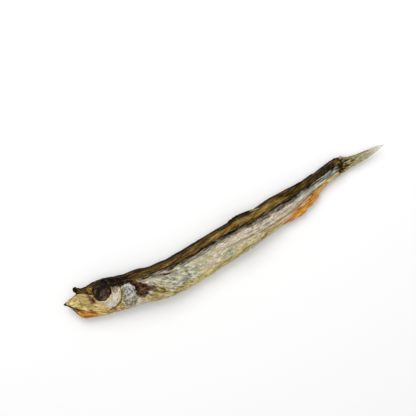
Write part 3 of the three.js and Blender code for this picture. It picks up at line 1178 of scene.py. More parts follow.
    def stains(self, chart: Chart) -> dict[Tint, Array]:
        """Works out where each colour of the skin lies.

        Args:
            chart: where the points of the skin are.

        Returns:
            How strong each tint is at each point.
        """
        x, y = chart.x, chart.y
        top = FORM.back(x) - y
        bottom = y - FORM.belly(x)
        wander = 0.5 * Noise(21)(chart.grain, (3.0, 1.5, 1.5), 2)
        below = self.groove(x) - y + wander * 0.7
        away, upper_front = self.round_eye(chart)
        back = fade(below, -0.35, 0.25)
        thick = 0.5 + 0.2 * chart.reach(64, 100, 8) + 0.4 * np.abs(wander)
        streaks = Noise(26)(chart.grain, (8.0, 0.7, 0.9), 2)
        root = ease(x + 1.2 * wander + 1.6 * streaks, 127.0, 129.6) * ease(bottom + wander, 0.3, 1.1)
        tangle = Noise(27).folds(chart.grain, 1.8, 0.9, 75)
        blotch = [Noise(seed)(chart.grain, (6.0, 3.5, 3.5), 2) for seed in (23, 24, 25)]
        blotch.append(Noise(28)(chart.grain, (2.4, 1.1, 1.1), 2))
        open_flank = (1 - back) * chart.reach(34, 98, 4)
        # A dark line along the groove under the back: partly the dark skin at the edge of the back, partly
        # painted shade in the groove.
        line = bell(below, thick) * chart.reach(33, self.groove_end, 5)
        line *= 0.55 + 0.15 * chart.reach(60, 104, 8) + 0.5 * streaks
        tints = {
            Tint.BACK: back,
            # Gold on the back below its top edge: partly golden skin, partly a painted highlight on the
            # bulge of the back.
            Tint.GOLD: back * ease(top, 0.7, 1.9) * most(
                chart.reach(70, 94, 14), chart.reach(34, 66, 12) * 0.42,
            ) + most(
                chart.near(self.cheek_bone, 0.45) * 0.85,
                chart.near(self.crease_line, 0.35) * 0.6,
                chart.near(self.upper_crease, 0.35) * 0.5,
                chart.near(self.keel_fold, 0.4) * 0.5,
                chart.spot(13.2, 6.0, 2.0, 1.5, -20) * 0.6,
                root,
            ),
            Tint.DARK: most(
                line,
                # Dark at the top edge of the back: partly its dark skin, partly painted shade where the
                # back curves away from the light.
                fade(top, 0.1, 0.9 + 0.5 * np.abs(wander)) * ease(x, 5, 8)
                * (0.95 - 0.35 * chart.reach(92, 104, 5)),
                chart.spot(6.6, 8.9, 1.4, 1.3),
                root * (0.85 - 0.5 * ease(tangle, 0.3, 1.0)),
                chart.near(self.nape, 1.1) * (0.9 - 0.7 * ease(x, 24, 38)),
                chart.near(self.gill_slit, 1.1) * 0.68,
                chart.near(self.groove_fold, 0.5) * (0.35 + 0.7 * streaks),
                back * ease(x, 106, 122) * 0.5,
                chart.spot(24.5, 3.9, 4.6, 2.1, -20) * 0.75,
                fade(away, 3.4, 4.2) * 0.9,
                fade(away, 4.0, 6.0) * ease(upper_front, -0.7, 0.4) * 0.35,
            ),
            Tint.SLATE: np.maximum(
                bell(below - 0.8, 1.3) * chart.reach(36, 100, 8) * 0.9,
                chart.spot(43.5, -0.5, 6.5, 1.5, -10) * 0.75,
            ),
            Tint.STEEL: chart.above(self.steel_edge, 0.6) * ease(below, -0.1, 0.5) * ease(x, 84, 98)
            * (1 - root),
            Tint.MOSS: most(
                chart.spots(self.moss_spots), ease(blotch[0], 0.05, 0.6) * open_flank * 0.7,
            ),
            Tint.OLIVE: most(
                fade(bottom + 2 * wander, 0.8, 3.8) * chart.reach(34, 98, 6) * 0.9,
                chart.spots(self.olive_spots),
                ease(blotch[1], 0.1, 0.9) * open_flank * ease(below, 2.0, 7.0) * 0.6,
                chart.near(self.crease_line, 0.9) * 0.45,
                chart.near(self.keel_fold, 0.9) * 0.6,
            ),
            Tint.PINK: np.maximum(
                ease(blotch[2], 0.1, 0.6) * open_flank * 0.6
                + chart.reach(74, 106, 12) * bell(below - 2.8, 1.8),
                chart.spot(30, -7.8, 4.0, 1.3, -8),
            ),
            Tint.AMBER: (1 - chart.above(self.amber_edge, 1.0)) * ease(x, 88, 104),
            Tint.ORANGE: most(
                fade(bottom + wander, 0.5, 1.8) * chart.reach(106, 119, 7),
                chart.near(self.fin_base, 0.35) * 0.7 * ease(x, 97, 104),
                ease(blotch[3], -0.1, 0.5) * fade(y, -4.8, -3.4) * fade(x, 22, 27) * 0.8,
            ),
            Tint.BLOOD: chart.spots(self.blood_spots),
            Tint.BEIGE: most(
                (1 - back) * fade(x, 13.0, 15.5),
                chart.near(self.cheek_bone, 0.5),
                fade(y, -5.2, -3.2) * fade(x, 22, 27) * 0.9,
                bell(away - 4.6, 0.6) * fade(upper_front, -0.6, 0.1) * 0.8,
                fade(bottom, 0.6, 1.6) * ease(x, 118, 124),
            ),
            Tint.PEARL: np.maximum(
                chart.spot(18.4, -1.1, 5.2, 3.5, 20) * ease(away, 4.2, 5.0) * (1 - back),
                chart.spot(27.5, -5.0, 5.5, 5.0) * (1 - back) * 0.6
                + chart.near(self.pale_flank, 1.6) * (1 - back) * 0.6,
            ),
        }
        return tints


# ---- Head pieces -----------------------------------------------------------------------------


@dataclass
class LowerJaw:
    """The trough of the lower jaw: two bony sides, and amber throat skin slung between them."""

    stations: int = 150
    across: int = 64
    end_x: float = 19.5
    wall: float = 0.45
    top: Profile = Profile(
        (0, 5.5), (2.4, 6.1), (5.4, 6.7), (7.2, 6.7), (9, 5.7), (12, 2.6), (16.2, -2.2), (19.5, -4.0),
    )
    base: Profile = Profile(
        (0, 5.0), (1.6, 3.3), (3.2, -0.3), (4.2, -2.8), (6, -4.0), (9, -4.9), (13, -6.1), (16.2, -6.7),
        (19.5, -6.4),
    )
    half_width: Profile = Profile((0, 0.35), (2, 1.1), (5, 2.1), (9, 2.9), (15, 3.3), (19.5, 2.0))
    bone_edge: Profile = Profile(
        (0, 5.2), (2.3, 3.4), (4.5, 1.1), (7.9, -1.1), (10.9, -2.3), (14, -3.6), (16.2, -4.6),
    )

    def build(self) -> bpy.types.Object:
        """Makes the finished lower jaw.

        Returns:
            The piece.
        """
        x = np.linspace(0.0, self.end_x, self.stations)[:, None]
        down = np.linspace(0, 1, self.across // 2)[None, :]
        outer = self.wall_points(x, down, 0.0)
        inner = self.wall_points(x, down, self.wall)
        mirror = np.array([1, 1, RIGHT])
        rings = np.concatenate(
            [outer, (outer * mirror)[:, -2::-1], inner * mirror, inner[:, -2::-1]], axis=1,
        )
        inside = np.zeros(rings.shape[:2])
        inside[:, 2 * outer.shape[1] - 1:] = 1
        chart = Chart(rings)
        tints = self.stains(chart, inside)
        grain = Noise(31)
        folds = grain.folds(chart.grain, 4.5, 0.75, -40)
        # painted shade in the creases of the folds, and painted highlight on their crests
        tints[Tint.CREASE_SHADE] = (1 - folds) ** 2 * 0.6
        tints[Tint.CREST_HIGHLIGHT] = ease(folds, 0.5, 1.0)
        height = 0.12 * (folds - 0.5) + 0.14 * grain(chart.grain, (2.5, 1.6, 1.6), 2)
        height *= ease(chart.x, 0.2, 1.6)
        piece = closed_skin("fish_lower_jaw", swell(rings, height), tints)
        finish_piece(piece, "lower_jaw", "jaw_skin", JAW.material())
        return piece

    def wall_points(self, x: Array, down: Array, inset: float) -> Array:
        """Gives one side of the trough.

        Args:
            x: places along the jaw, as a column.
            down: shares of the way from the rim to the keel, as a row.
            inset: how far inside the outer face to stay.

        Returns:
            Points of the fish's frame by station and share.
        """
        inset = inset * ease(x, 0.0, 2.0) + 0.05 * (inset > 0)
        top = self.top(x)
        base = self.base(x) + 2.2 * inset
        y = top + (base - top) * down
        full = self.half_width(x) * (1 - down**2.6) ** (1 / 2.0)
        edge = self.bone_edge(x)
        hollow = 0.4 * bell(y - edge + 1.0, 0.8) * ease(x, 2.0, 5.0)
        ridge = 0.3 * bell(y - edge, 0.35) * ease(x, 0.5, 3.0)
        rim = 0.35 * bell(down, 0.05) * ease(x, 1, 4)
        z = np.maximum(full - hollow + ridge - rim - inset, 0.02 + 0 * down)
        z = np.where(down >= 1, 0, z)
        return np.stack([np.broadcast_to(x, y.shape), y, z], -1)

    def stains(self, chart: Chart, inside: Array) -> dict[Tint, Array]:
        """Works out where each colour of the jaw lies.

        Args:
            chart: where the points of the skin are.
            inside: 1 on the inner faces and 0 on the outer ones.

        Returns:
            How strong each tint is at each point.
        """
        over = chart.y - self.bone_edge(chart.x)
        line = bell(over + 0.05, 0.5 - 0.15 * ease(chart.x, 4, 7))
        return {
            Tint.BEIGE: np.maximum(inside * 0.8, chart.reach(3.0, 8, 1.5) * ease(over, 1.6, 3.0) * 0.3),
            Tint.ORANGE: np.maximum(
                fade(over, -0.5, 0.1) * (1 - 0.5 * inside) * (1 - 0.7 * ease(chart.x, 8, 13)),
                ease(Noise(32)(chart.grain, (2.6, 1.0, 1.0), 2), -0.2, 0.35) * ease(chart.x, 7, 10) * 0.85
                * fade(over, 0.5, 2.0),
            ),
            Tint.BLOOD: most(
                fade(over, -1.4, -0.3) * fade(chart.x, 3.2, 4.6) * 0.8,
                inside * ease(chart.x, 5, 10) * 0.95,
                line * ease(chart.x, 4, 6) * fade(chart.x, 9, 12) * 0.7,
            ),
            Tint.DARK: np.maximum(line * fade(chart.x, 4.5, 9), fade(chart.x, 0.7, 1.8)),
        }


@dataclass
class JawPlate:
    """The thin bone that runs down each side of the gape, wide where it hangs from the snout."""

    rows: int = 90
    across: int = 40
    thickness: float = 0.35
    front: Path = (
        (6.2, 6.9), (6.35, 5.0), (6.6, 3.1), (8.4, 1.7), (10.6, 0.2), (12.8, -1.5), (15.4, -3.9),
    )
    rear: Path = (
        (6.5, 7.5), (8.4, 7.0), (10.4, 5.9), (12.0, 4.0), (12.9, 1.6), (13.9, -0.8), (15.6, -3.4),
    )

    def build(self, side_name: str) -> bpy.types.Object:
        """Makes the finished plate of one side.

        Args:
            side_name: left or right.

        Returns:
            The piece.
        """
        side = SIDES[side_name]
        down = np.linspace(0, 1, self.rows)
        share = np.linspace(0, 1, self.across)[None, :]
        front, rear = (self.edge(path, down) for path in (self.front, self.rear))
        flat = front[:, None, :] + (rear - front)[:, None, :] * share[..., None]
        px, py = flat[..., 0], flat[..., 1]
        head = FORM.flank(np.maximum(px, FORM.front_x), py)
        rest = np.maximum(LowerJaw().half_width(px), head) * ease(px, 5.0, 7.5)
        rest = rest + 0.25 + 0.25 * np.sin(np.pi * share) - 0.4 * ease(share, 0.75, 1.0)
        strut = 0.25 * bell(share, 0.14) * fade(px, 8, 11)
        rings = two_faced(px, py, side * (rest + strut), side * (rest - self.thickness))
        chart = Chart(rings)
        folds = Noise(41 + side).folds(chart.grain, 5.0, 0.8, -48)
        both = np.concatenate([share, share[:, ::-1]], axis=1) + 0 * chart.x
        lower = ease(chart.x, 9.5, 13)
        tints = {
            Tint.BEIGE: (1 - lower) * 0.95,
            Tint.ORANGE: ease(chart.x, 13.0, 15.0) * 0.5,
            Tint.BLOOD: np.maximum(
                bell(both, 0.1) * fade(chart.x, 7.5, 10) * 0.6,
                ease(chart.x, 8.8, 12.2) * ease(chart.y, -1.5, 1.5) * 0.8,
            ),
            Tint.DARK: most(
                ease(chart.y, 6.4, 7.2) * 0.9,
                bell(both, 0.06) * ease(chart.y, 2.5, 4) * 0.7,
                ease(chart.x, 11.0, 12.6) * ease(chart.y, -0.5, 2.0) * 0.8,
            ),
            # painted shade in the creases of the folds, and painted highlight on their crests
            Tint.CREASE_SHADE: (1 - folds) ** 2 * (0.25 + 0.5 * lower),
            Tint.CREST_HIGHLIGHT: ease(folds, 0.5, 1.0) * (0.3 + 0.6 * lower),
        }
        height = 0.1 * (folds - 0.5) * (0.3 + 0.7 * lower)
        piece = closed_skin(f"fish_{side_name}_jaw_plate", swell(rings, height), tints)
        finish_piece(piece, f"{side_name}_upper_jaw_plate", "jaw_skin", JAW.material())
        return piece

    def edge(self, path: Path, share: Array) -> Array:
        """Gives points along one edge of the plate."""
        at = np.linspace(0, 1, len(path))
        return np.stack([Profile(*zip(at, column))(share) for column in zip(*path)], -1)


@dataclass
class Eye:
    """A shrunken eye: a thick dark rim round a sunken, folded middle."""

    x: float = 17.3
    y: float = 3.7
    radius: float = 4.2
    depth: float = 1.0
    rings: int = 56
    around: int = 128

    def build(self, side_name: str) -> bpy.types.Object:
        """Makes the finished eye of one side.

        Args:
            side_name: left or right.

        Returns:
            The piece.
        """
        side = SIDES[side_name]
        out = np.concatenate([np.linspace(0.02, 1, self.rings), np.linspace(0.98, 0.1, 8)])[:, None]
        angle = full_turn(self.around)
        front = np.arange(len(out))[:, None] < self.rings
        across = np.stack(np.broadcast_arrays(out * np.cos(angle), out * np.sin(angle), 0 * out), -1)
        slow, quick = Noise(151 + side), Noise(153 + side)
        bent = across + 0.3 * np.stack([slow(across + k, (0.8, 0.8, 0.8)) for k in (1.7, 5.3, 9.1)], -1)
        folds = np.clip(np.abs(slow(bent, (0.55, 0.4, 0.5), 2)) * 2.6, 0, 1)
        swirl = quick(bent, (1.1, 0.8, 1.0), 2)
        low_right = (across[..., 0] - across[..., 1]) / 1.42
        rim = bell(out - 0.88, 0.12) * (0.3 + 0.7 * ease(low_right, -0.7, 0.5))
        bowl = -0.5 * fade(out, 0.3, 0.85)
        height = (bowl + 0.5 * rim + 0.34 * (folds - 0.5) * (1 - rim)) * front
        height -= self.depth * (1 - front) + 0.5 * ease(out, 0.94, 1.0) * front
        px = self.x + self.radius * across[..., 0]
        py = self.y + self.radius * across[..., 1]
        middle = FORM.flank(np.array(self.x), np.array(self.y))
        z = middle + 0.75 * (FORM.flank(px, py) - middle) - 0.2 + height
        rings = np.stack([px, py, side * z], -1)
        wide = np.broadcast_to(out, px.shape)
        tints = {
            Tint.DARK: np.maximum(
                ease(wide, 0.66, 0.82) * (0.6 + 0.4 * ease(low_right, -0.6, 0.2)),
                ease(-swirl, 0.1, 0.5) * 0.7,
            ),
            Tint.BEIGE: ease(swirl, 0.1, 0.45) * fade(wide, 0.55, 0.8) * ease(-low_right, -0.3, 0.4),
            # painted shade in the creases of the folds, and painted highlight on their crests
            Tint.CREASE_SHADE: (1 - folds) ** 1.5 * 0.8,
            Tint.CREST_HIGHLIGHT: folds,
        }
        piece = closed_skin(f"fish_{side_name}_eye", rings, tints)
        finish_piece(piece, f"{side_name}_eye", "dried_eye", EYE.material())
        return piece


@dataclass
class GillCover:
    """A silvery bony plate with a torn rear edge, ribbed from its front upper corner."""

    low_y: float = -6.9
    high_y: float = 2.7
    front: Profile = Profile(
        (-6.9, 26.0), (-6.5, 24.6), (-5.4, 22.7), (-3.7, 22.1), (-2.2, 22.9), (0, 23.6), (1.6, 23.8),
        (2.3, 24.6), (2.7, 26.0),
    )
    rear: Profile = Profile(
        (-6.9, 27.0), (-6.4, 28.6), (-4.5, 29.3), (-2.2, 30.0), (-0.3, 30.3), (1.2, 29.9), (2.3, 29.0),
        (2.7, 27.6),
    )
    rows: int = 110
    across: int = 80
    thickness: float = 0.4
    tear: float = 1.0
    rib_corner: tuple[float, float] = (24.0, 2.4)  # where the ribs fan out from

    def build(self, side_name: str) -> bpy.types.Object:
        """Makes the finished gill cover of one side.

        Args:
            side_name: left or right.

        Returns:
            The piece.
        """
        side = SIDES[side_name]
        up = np.linspace(-1, 1, self.rows)[:, None]
        along = np.linspace(-1, 1, self.across)[None, :]
        high = (self.low_y + self.high_y) / 2 + (self.high_y - self.low_y) / 2 * up + 0 * along
        torn = Noise(61 + side)(np.stack([up * 3.2, 0 * up, 0 * up], -1), (1.0, 1.0, 1.0), 4)
        px = self.front(high) + (self.rear(high) - self.front(high)) * (along + 1) / 2
        px = px + self.tear * torn * ease(along, 0.2, 1.0)
        flank = FORM.flank(px, high)
        lift = 0.42 * fade(np.abs(along), 0.55, 1.0) + 0.18 * ease(along, 0.6, 1.0)
        edge = 0.3 * ease(np.abs(up), 0.8, 1.0) + (0.65 + 0.5 * torn) * fade(along, -1.0, -0.4)
        z = flank + lift - edge
        rings = two_faced(px, high, side * z, side * (z - self.thickness))
        chart = Chart(rings)
        right, above = chart.x - self.rib_corner[0], chart.y - self.rib_corner[1]
        fan = [np.hypot(right, above) * 0.35, np.arctan2(above, right) * 6.0, 0 * chart.x + side]
        ribs = Noise(63 + side).folds(np.stack(fan, -1), 3.0, 0.8)
        crumple = Noise(65 + side).folds(chart.grain, 2.2, 1.0, 25)
        dents = Noise(67 + side).folds(chart.grain, 2.8, 1.7, 70)
        both = np.concatenate([along, along[:, ::-1]], axis=1) + 0 * chart.x
        lower = fade(chart.y, -5.2, -1.8)
        tints = {
            Tint.BEIGE: np.maximum(0.9 * fade(both, -0.7, 0.1), 0.75 * lower),
            Tint.BLOOD: ease(both, 0.8, 1.0) * 0.6,
            # painted shade in the creases of the ribs, crumples and dents, and painted highlight on their
            # crests
            Tint.CREASE_SHADE: most(
                (1 - ribs) ** 2 * 0.35,
                (1 - crumple) ** 2 * (0.8 - 0.3 * lower),
                (1 - dents) ** 1.5 * (0.8 - 0.3 * lower),
            ),
            Tint.CREST_HIGHLIGHT: crumple * dents,
        }
        height = 0.1 * (ribs - 0.5) + 0.2 * (crumple - 0.5) + 0.3 * (dents - 0.5)
        piece = closed_skin(f"fish_{side_name}_gill_cover", swell(rings, height), tints)
        finish_piece(piece, f"{side_name}_gill_cover", "silver_bone", SILVER.material())
        return piece


# ---- Fins ------------------------------------------------------------------------------------


class RayTree(NodeMaker):
    """The geometry nodes that turn a fin's plain sheet into a closed web with rays along it."""

    def __init__(self) -> None:
        """Builds the tree, with named inputs for its sizes."""
        super().__init__(bpy.data.node_groups.new("fin_rays", "GeometryNodeTree"))
        for name, kind in (
            ("Geometry", "Geometry"), ("Web Thickness", "Float"), ("Ray Radius", "Float"),
            ("Tip Share", "Float"), ("Seed", "Int"), ("Web", "Material"), ("Ray", "Material"),
        ):
            self.tree.interface.new_socket(name, in_out="INPUT", socket_type=f"NodeSocket{kind}")
        self.tree.interface.new_socket("Geometry", in_out="OUTPUT", socket_type="NodeSocketGeometry")
        self.start = self.add("NodeGroupInput").outputs
        real = self.add("GeometryNodeRealizeInstances", Geometry=self.join(self.web(), self.rays()))
        self.add("NodeGroupOutput", Geometry=real.outputs["Geometry"])

    def join(self, *parts: Socket) -> Socket:
        """Joins geometries.

        Args:
            parts: the geometries.

        Returns:
            All of them as one.
        """
        node = self.add("GeometryNodeJoinGeometry")
        for part in parts:
            self.plug(part, node.inputs["Geometry"])
        return node.outputs["Geometry"]

    def cover(self, part: Socket, material: str) -> Socket:
        """Gives a geometry in the material of a named input."""
        node = self.add("GeometryNodeSetMaterial", Geometry=part, Material=self.start[material])
        return node.outputs["Geometry"]

    def value(self, name: str) -> Socket:
        """Reads one of the sheet's attributes."""
        node = self.add("GeometryNodeInputNamedAttribute", Name=name)
        return node.outputs["Attribute"]

    def web(self) -> Socket:
        """Thickens the sheet into a closed web.

        Returns:
            The web's geometry.
        """
        normal = self.add("GeometryNodeInputNormal").outputs["Normal"]
        sink = self.step("MULTIPLY", self.start["Web Thickness"], -0.5)
        back = self.add("ShaderNodeVectorMath", "SCALE", Vector=normal, Scale=sink)
        sheet = self.start["Geometry"]
        sunk = self.add("GeometryNodeSetPosition", Geometry=sheet, Offset=back.outputs[0])
        raised = self.add(
            "GeometryNodeExtrudeMesh", Mesh=sunk.outputs["Geometry"],
            Offset_Scale=self.start["Web Thickness"], Individual=False,
        )
        under = self.add("GeometryNodeFlipFaces", Mesh=sunk.outputs["Geometry"])
        both = self.join(raised.outputs["Mesh"], under.outputs["Mesh"])
        closed = self.add("GeometryNodeMergeByDistance", Geometry=both, Distance=1e-6)
        return self.cover(closed.outputs["Geometry"], "Web")

    def rays(self) -> Socket:
        """Runs a tapered ray along each line of the sheet that is marked as one.

        Returns:
            The rays' geometry.
        """
        marked = self.step("GREATER_THAN", self.value("ray"), 0.9)
        lines = self.add("GeometryNodeMeshToCurve", Mesh=self.start["Geometry"], Selection=marked)
        loss = self.step("SUBTRACT", self.start["Tip Share"], 1.0)
        taper = self.step("MULTIPLY", self.value("along"), loss)
        radius = self.step("MULTIPLY", self.start["Ray Radius"], self.step("ADD", taper, 1.0))
        uneven = self.add("FunctionNodeRandomValue", Seed=self.start["Seed"])
        spread = self.step("ADD", self.step("MULTIPLY", uneven.outputs[1], 0.3), 0.85)
        round_edge = self.add("GeometryNodeCurvePrimitiveCircle", Resolution=6, Radius=1.0)
        tubes = self.add(
            "GeometryNodeCurveToMesh", Curve=lines.outputs["Curve"],
            Profile_Curve=round_edge.outputs["Curve"], Fill_Caps=True,
            Scale=self.step("MULTIPLY", radius, spread),
        )
        smooth = self.add("GeometryNodeSetShadeSmooth", Geometry=tubes.outputs["Mesh"])
        return self.cover(smooth.outputs["Geometry"], "Ray")

    def apply(self, piece: bpy.types.Object, settings: dict[str, object]) -> None:
        """Runs the tree on a piece and keeps the result as its plain mesh.

        Args:
            piece: an object whose mesh is the fin's sheet.
            settings: a value for each named input but the geometry.
        """
        modifier = piece.modifiers.new("fin_rays", "NODES")
        modifier.node_group = self.tree
        sockets = {s.name: s.identifier for s in self.tree.interface.items_tree if s.in_out == "INPUT"}
        for name, value in settings.items():
            modifier[sockets[name]] = value
        shown = piece.evaluated_get(bpy.context.evaluated_depsgraph_get())
        mesh = bpy.data.meshes.new_from_object(shown)
        piece.modifiers.clear()
        piece.data = mesh


@dataclass
class Fin:
    """A dried fin: a ragged web between its root and its free edge, stiffened by rays."""

    node: str
    slot: str
    web: Finish
    ray: Finish
    rays: int
    root: Path
    tips: Path
    stand: float = 0.0  # how far off the middle plane or the flank it lies, in millimetres
    dip: float = 0.6  # how much deeper than that its root lies on a flank
    side: int = 0  # 0 on the middle plane, or the side of the flank that it lies on
    steps: int = 26
    between: int = 4
    ragged: float = 0.35
    wave: float = 0.25
    ray_radius: float = 0.13
    tip_share: float = 0.35  # of a ray's thickness, left at its tip
    thickness: float = 0.12
    dark_root: float = 0.3
    dark_x: tuple[float, float] = (0.0, 0.0)  # dark in front of the first, not behind the second
    faint_x: tuple[float, float] = (200.0, 201.0)  # thin behind the second, not in front of the first
    streaked: float = 0.0  # how much of the dark root is left out between its streaks
    thinning: float = 1.0  # how much it thins towards its free edge
    pale: float = 0.0
    curl: float = 0.0
    seed: int = 71

    def build(self, tree: RayTree) -> bpy.types.Object:
        """Makes the finished fin.

        Args:
            tree: the geometry nodes that add the rays.

        Returns:
            The fin as one plain mesh.
        """
        columns = (self.rays - 1) * self.between + 1
        share = np.linspace(0, 1, columns)[:, None]
        out = np.linspace(0, 1, self.steps)[None, :]
        low, high = self.edge(self.root, share[:, 0]), self.edge(self.tips, share[:, 0])
        noise = Noise(self.seed)
        torn = noise(np.stack([share * 9, 0 * share, 0 * share], -1), (1.0, 1.0, 1.0), 3)
        length = 1 - self.ragged * np.clip(torn + 0.1, 0, 1)
        flat = low[:, None, :] + (high - low)[:, None, :] * (out * length)[..., None]
        sheet = np.concatenate([flat, np.zeros((*flat.shape[:2], 1))], -1)
        sheet[..., 2] = self.offset(flat)
        bent = np.stack([share * 6 + 0 * out, out * 1.5 + 0 * share, 0 * share * out], -1)
        web_sag = np.abs(np.sin(np.pi * share * (self.rays - 1))) * 0.1
        sheet[..., 2] += (self.side or 1) * (self.wave * out * noise(bent, (1.0, 1.0, 1.0), 2) - web_sag)
        ray = (np.arange(columns) % self.between == 0).astype(float)[:, None] + 0 * out
        reach = np.linalg.norm(high - low, axis=1)[:, None] * length
        return self.dress(sheet, ray, out + 0 * ray, out * reach / reach.max(), tree)

    def edge(self, path: Path, share: Array) -> Array:
        """Spreads points evenly along an outline.

        Args:
            path: the outline's corners.
            share: how far along it each point is, from 0 to 1.

        Returns:
            The points.
        """
        points = np.array(path, float)
        run = np.concatenate([[0], np.cumsum(np.linalg.norm(np.diff(points, axis=0), axis=1))])
        return np.stack([np.interp(share * run[-1], run, points[:, k]) for k in (0, 1)], -1)

    def offset(self, flat: Array) -> Array:
        """Finds how far from the middle plane the sheet lies.

        Args:
            flat: how far along the fish and how high its points are, by column and step.

        Returns:
            One value for each point, in millimetres.
        """
        if self.side:
            rise = self.stand - self.dip * fade(np.linspace(0, 1, flat.shape[1]), 0.0, 0.12)
            return self.side * (FORM.flank(flat[..., 0], flat[..., 1]) + rise)
        start = flat[..., 0].min()
        along = (flat[..., 0] - start) / (flat[..., 0].max() - start)
        return self.stand + self.curl * along**2

    def dress(self, sheet: Array, ray: Array, along: Array, out: Array, tree: RayTree) -> bpy.types.Object:
        """Turns the sheet into the finished piece.

        Args:
            sheet: points of the fish's frame by column and step.
            ray: 1 on the columns that are rays.
            along: how far along its own column each point is, from 0 to 1.
            out: how far out each point is, as a share of the longest column.
            tree: the geometry nodes that add the rays.

        Returns:
            The piece.
        """
        at = np.arange(sheet.shape[0] * sheet.shape[1]).reshape(sheet.shape[:2])
        quads = np.stack([at[:-1, :-1], at[1:, :-1], at[1:, 1:], at[:-1, 1:]], -1).reshape(-1, 4)
        name = f"fish_{self.node}"
        mesh = fill_mesh(name, FORM.lay(sheet.reshape(-1, 3)), [quads])
        chart = Chart(sheet)
        folds = Noise(self.seed + 1).folds(chart.grain, 3.0, 0.6, 5)
        dark = fade(along, self.dark_root * 0.2, self.dark_root) * (1 - self.streaked * folds)
        if self.dark_x[1]:
            dark = np.maximum(dark, fade(chart.x, *self.dark_x))
        add_values(mesh, chart.grain, {
            Tint.OUT: np.maximum(self.thinning * out, 0.7 * ease(chart.x, *self.faint_x)),
            Tint.DARK: dark,
            Tint.BEIGE: self.pale + 0 * out,
            # painted shade in the creases of the folds, and painted highlight on their crests
            Tint.CREASE_SHADE: (1 - folds) ** 2 * 0.5,
            Tint.CREST_HIGHLIGHT: folds * 0.6,
        })
        mark(mesh, {"ray": ray, "along": along})
        piece = put_in_scene(name, mesh)
        tree.apply(piece, {
            "Web Thickness": self.thickness * MM,
            "Ray Radius": self.ray_radius * MM,
            "Tip Share": self.tip_share,
            "Seed": self.seed,
            "Web": self.web.material(),
            "Ray": self.ray.material(),
        })
        finish_piece(piece, self.node, self.slot)
        return piece


@dataclass
class FleshyFin:
    """The small fin ahead of the tail: a dried lobe without rays, lying along the back."""

    front: tuple[float, float] = (112.4, 8.5)
    tip: tuple[float, float] = (117.6, 9.75)
    half_height: float = 0.42
    half_width: float = 0.26
    stand: float = 0.35  # how far off the middle plane it lies

    def build(self) -> bpy.types.Object:
        """Makes the finished lobe.

        Returns:
            The piece.
        """
        along = np.linspace(0, 1, 60)[:, None]
        angle = full_turn(32)
        (x0, y0), (x1, y1) = self.front, self.tip
        swollen = np.sqrt(np.maximum(np.sin(np.pi * along**0.8), 0.002))
        x = x0 + (x1 - x0) * along + 0 * angle
        y = y0 + (y1 - y0) * along + self.half_height * swollen * np.cos(angle)
        z = self.stand + self.half_width * swollen * np.sin(angle)
        rings = np.stack([x, y, z], -1)
        chart = Chart(rings)
        folds = Noise(83).folds(chart.grain, 2.0, 0.5, 12)
        # dark fin skin, with painted shade in the creases of the folds and painted highlight on their
        # crests
        tints = {Tint.DARK: 0.75 + 0 * x, Tint.CREASE_SHADE: (1 - folds) ** 2, Tint.CREST_HIGHLIGHT: folds * 0.3}
        piece = closed_skin("fish_adipose_fin", swell(rings, 0.07 * (folds - 0.5)), tints)
        finish_piece(piece, "adipose_fin", "fin_web", WEB.material())
        return piece


def median_fins() -> list[Fin]:
    """Gives the fins that stand on the middle plane, from the back to the tail.

    Returns:
        The dorsal, anal and tail fins.
    """
    return [
        Fin(
            "dorsal_fin", "fin_web", WEB, RAY, rays=9, seed=81, side=LEFT, ragged=0.1, wave=0.06,
            root=((74.8, 5.8), (77, 6.4), (79.5, 7.0)),
            tips=((77.4, 7.5), (80.8, 8.1), (84.8, 8.0), (88.5, 7.45), (91.6, 6.8)),
            dark_root=0.2, dark_x=(83, 95), faint_x=(87, 92), steps=60, thickness=0.2, thinning=0.2,
            stand=0.45,
        ),
        Fin(
            "anal_fin", "amber_fin", AMBER_WEB, AMBER_RAY, rays=24, seed=85, dark_root=0.5, ragged=0.25,
            root=((95.5, -4.1), (106, -1.6), (111, 0.1), (116, 2.1), (120.5, 3.2)),
            tips=(
                (95.8, -4.5), (100.5, -4.6), (105.7, -4.45), (108.3, -3.8), (112, -2.5), (115.3, -0.8),
                (116.3, 0.1), (119.1, 1.9), (122.5, 3.1),
            ),
            ray_radius=0.07, stand=0.35, wave=0.15, dark_x=(99, 109),
        ),
        Fin(
            "tail_fin", "fin_web", WEB, RAY, rays=17, seed=87, dark_root=0.6, ragged=0.06, wave=0.35,
            root=((129.7, 10.9), (130.6, 9.0), (130.8, 7.0), (130.2, 4.6)),
            tips=(
                (131.7, 11.4), (132.9, 10.4), (134.6, 9.6), (138.5, 9.0), (143, 8.8), (148, 8.6),
                (150.8, 8.1), (149.6, 7.4), (146, 6.4), (142, 5.5), (137, 5.1), (132.6, 4.8),
            ),
            steps=70, curl=1.4, ray_radius=0.15, streaked=0.7,
        ),
    ]


def paired_fins(side_name: str) -> list[Fin]:
    """Gives the two fins that are folded on one flank.

    Args:
        side_name: left or right.

    Returns:
        The pectoral and the pelvic fin.
    """
    side = SIDES[side_name]
    shift = 4 * (side < 0)
    return [
        Fin(
            f"{side_name}_pectoral_fin", "fin_web", WEB, RAY, rays=8, seed=91 + shift, side=side,
            root=((30.4, -5.5), (30.6, -6.6)), tips=((41.6, -8.6), (40.6, -9.1), (37.5, -9.2)),
            dark_root=0.02, ray_radius=0.15, wave=0.2, steps=44, pale=0.9, stand=0.15,
        ),
        Fin(
            f"{side_name}_pelvic_fin", "fin_web", WEB, RAY, rays=7, seed=93 + shift, side=side,
            root=((76.6, -5.8), (76.8, -6.9)), tips=((91.0, -3.5), (90.2, -3.9), (87.5, -4.6)),
            dark_root=0.02, ray_radius=0.12, wave=0.12, steps=44, stand=0.1,
        ),
    ]


# ---- Studio ----------------------------------------------------------------------------------


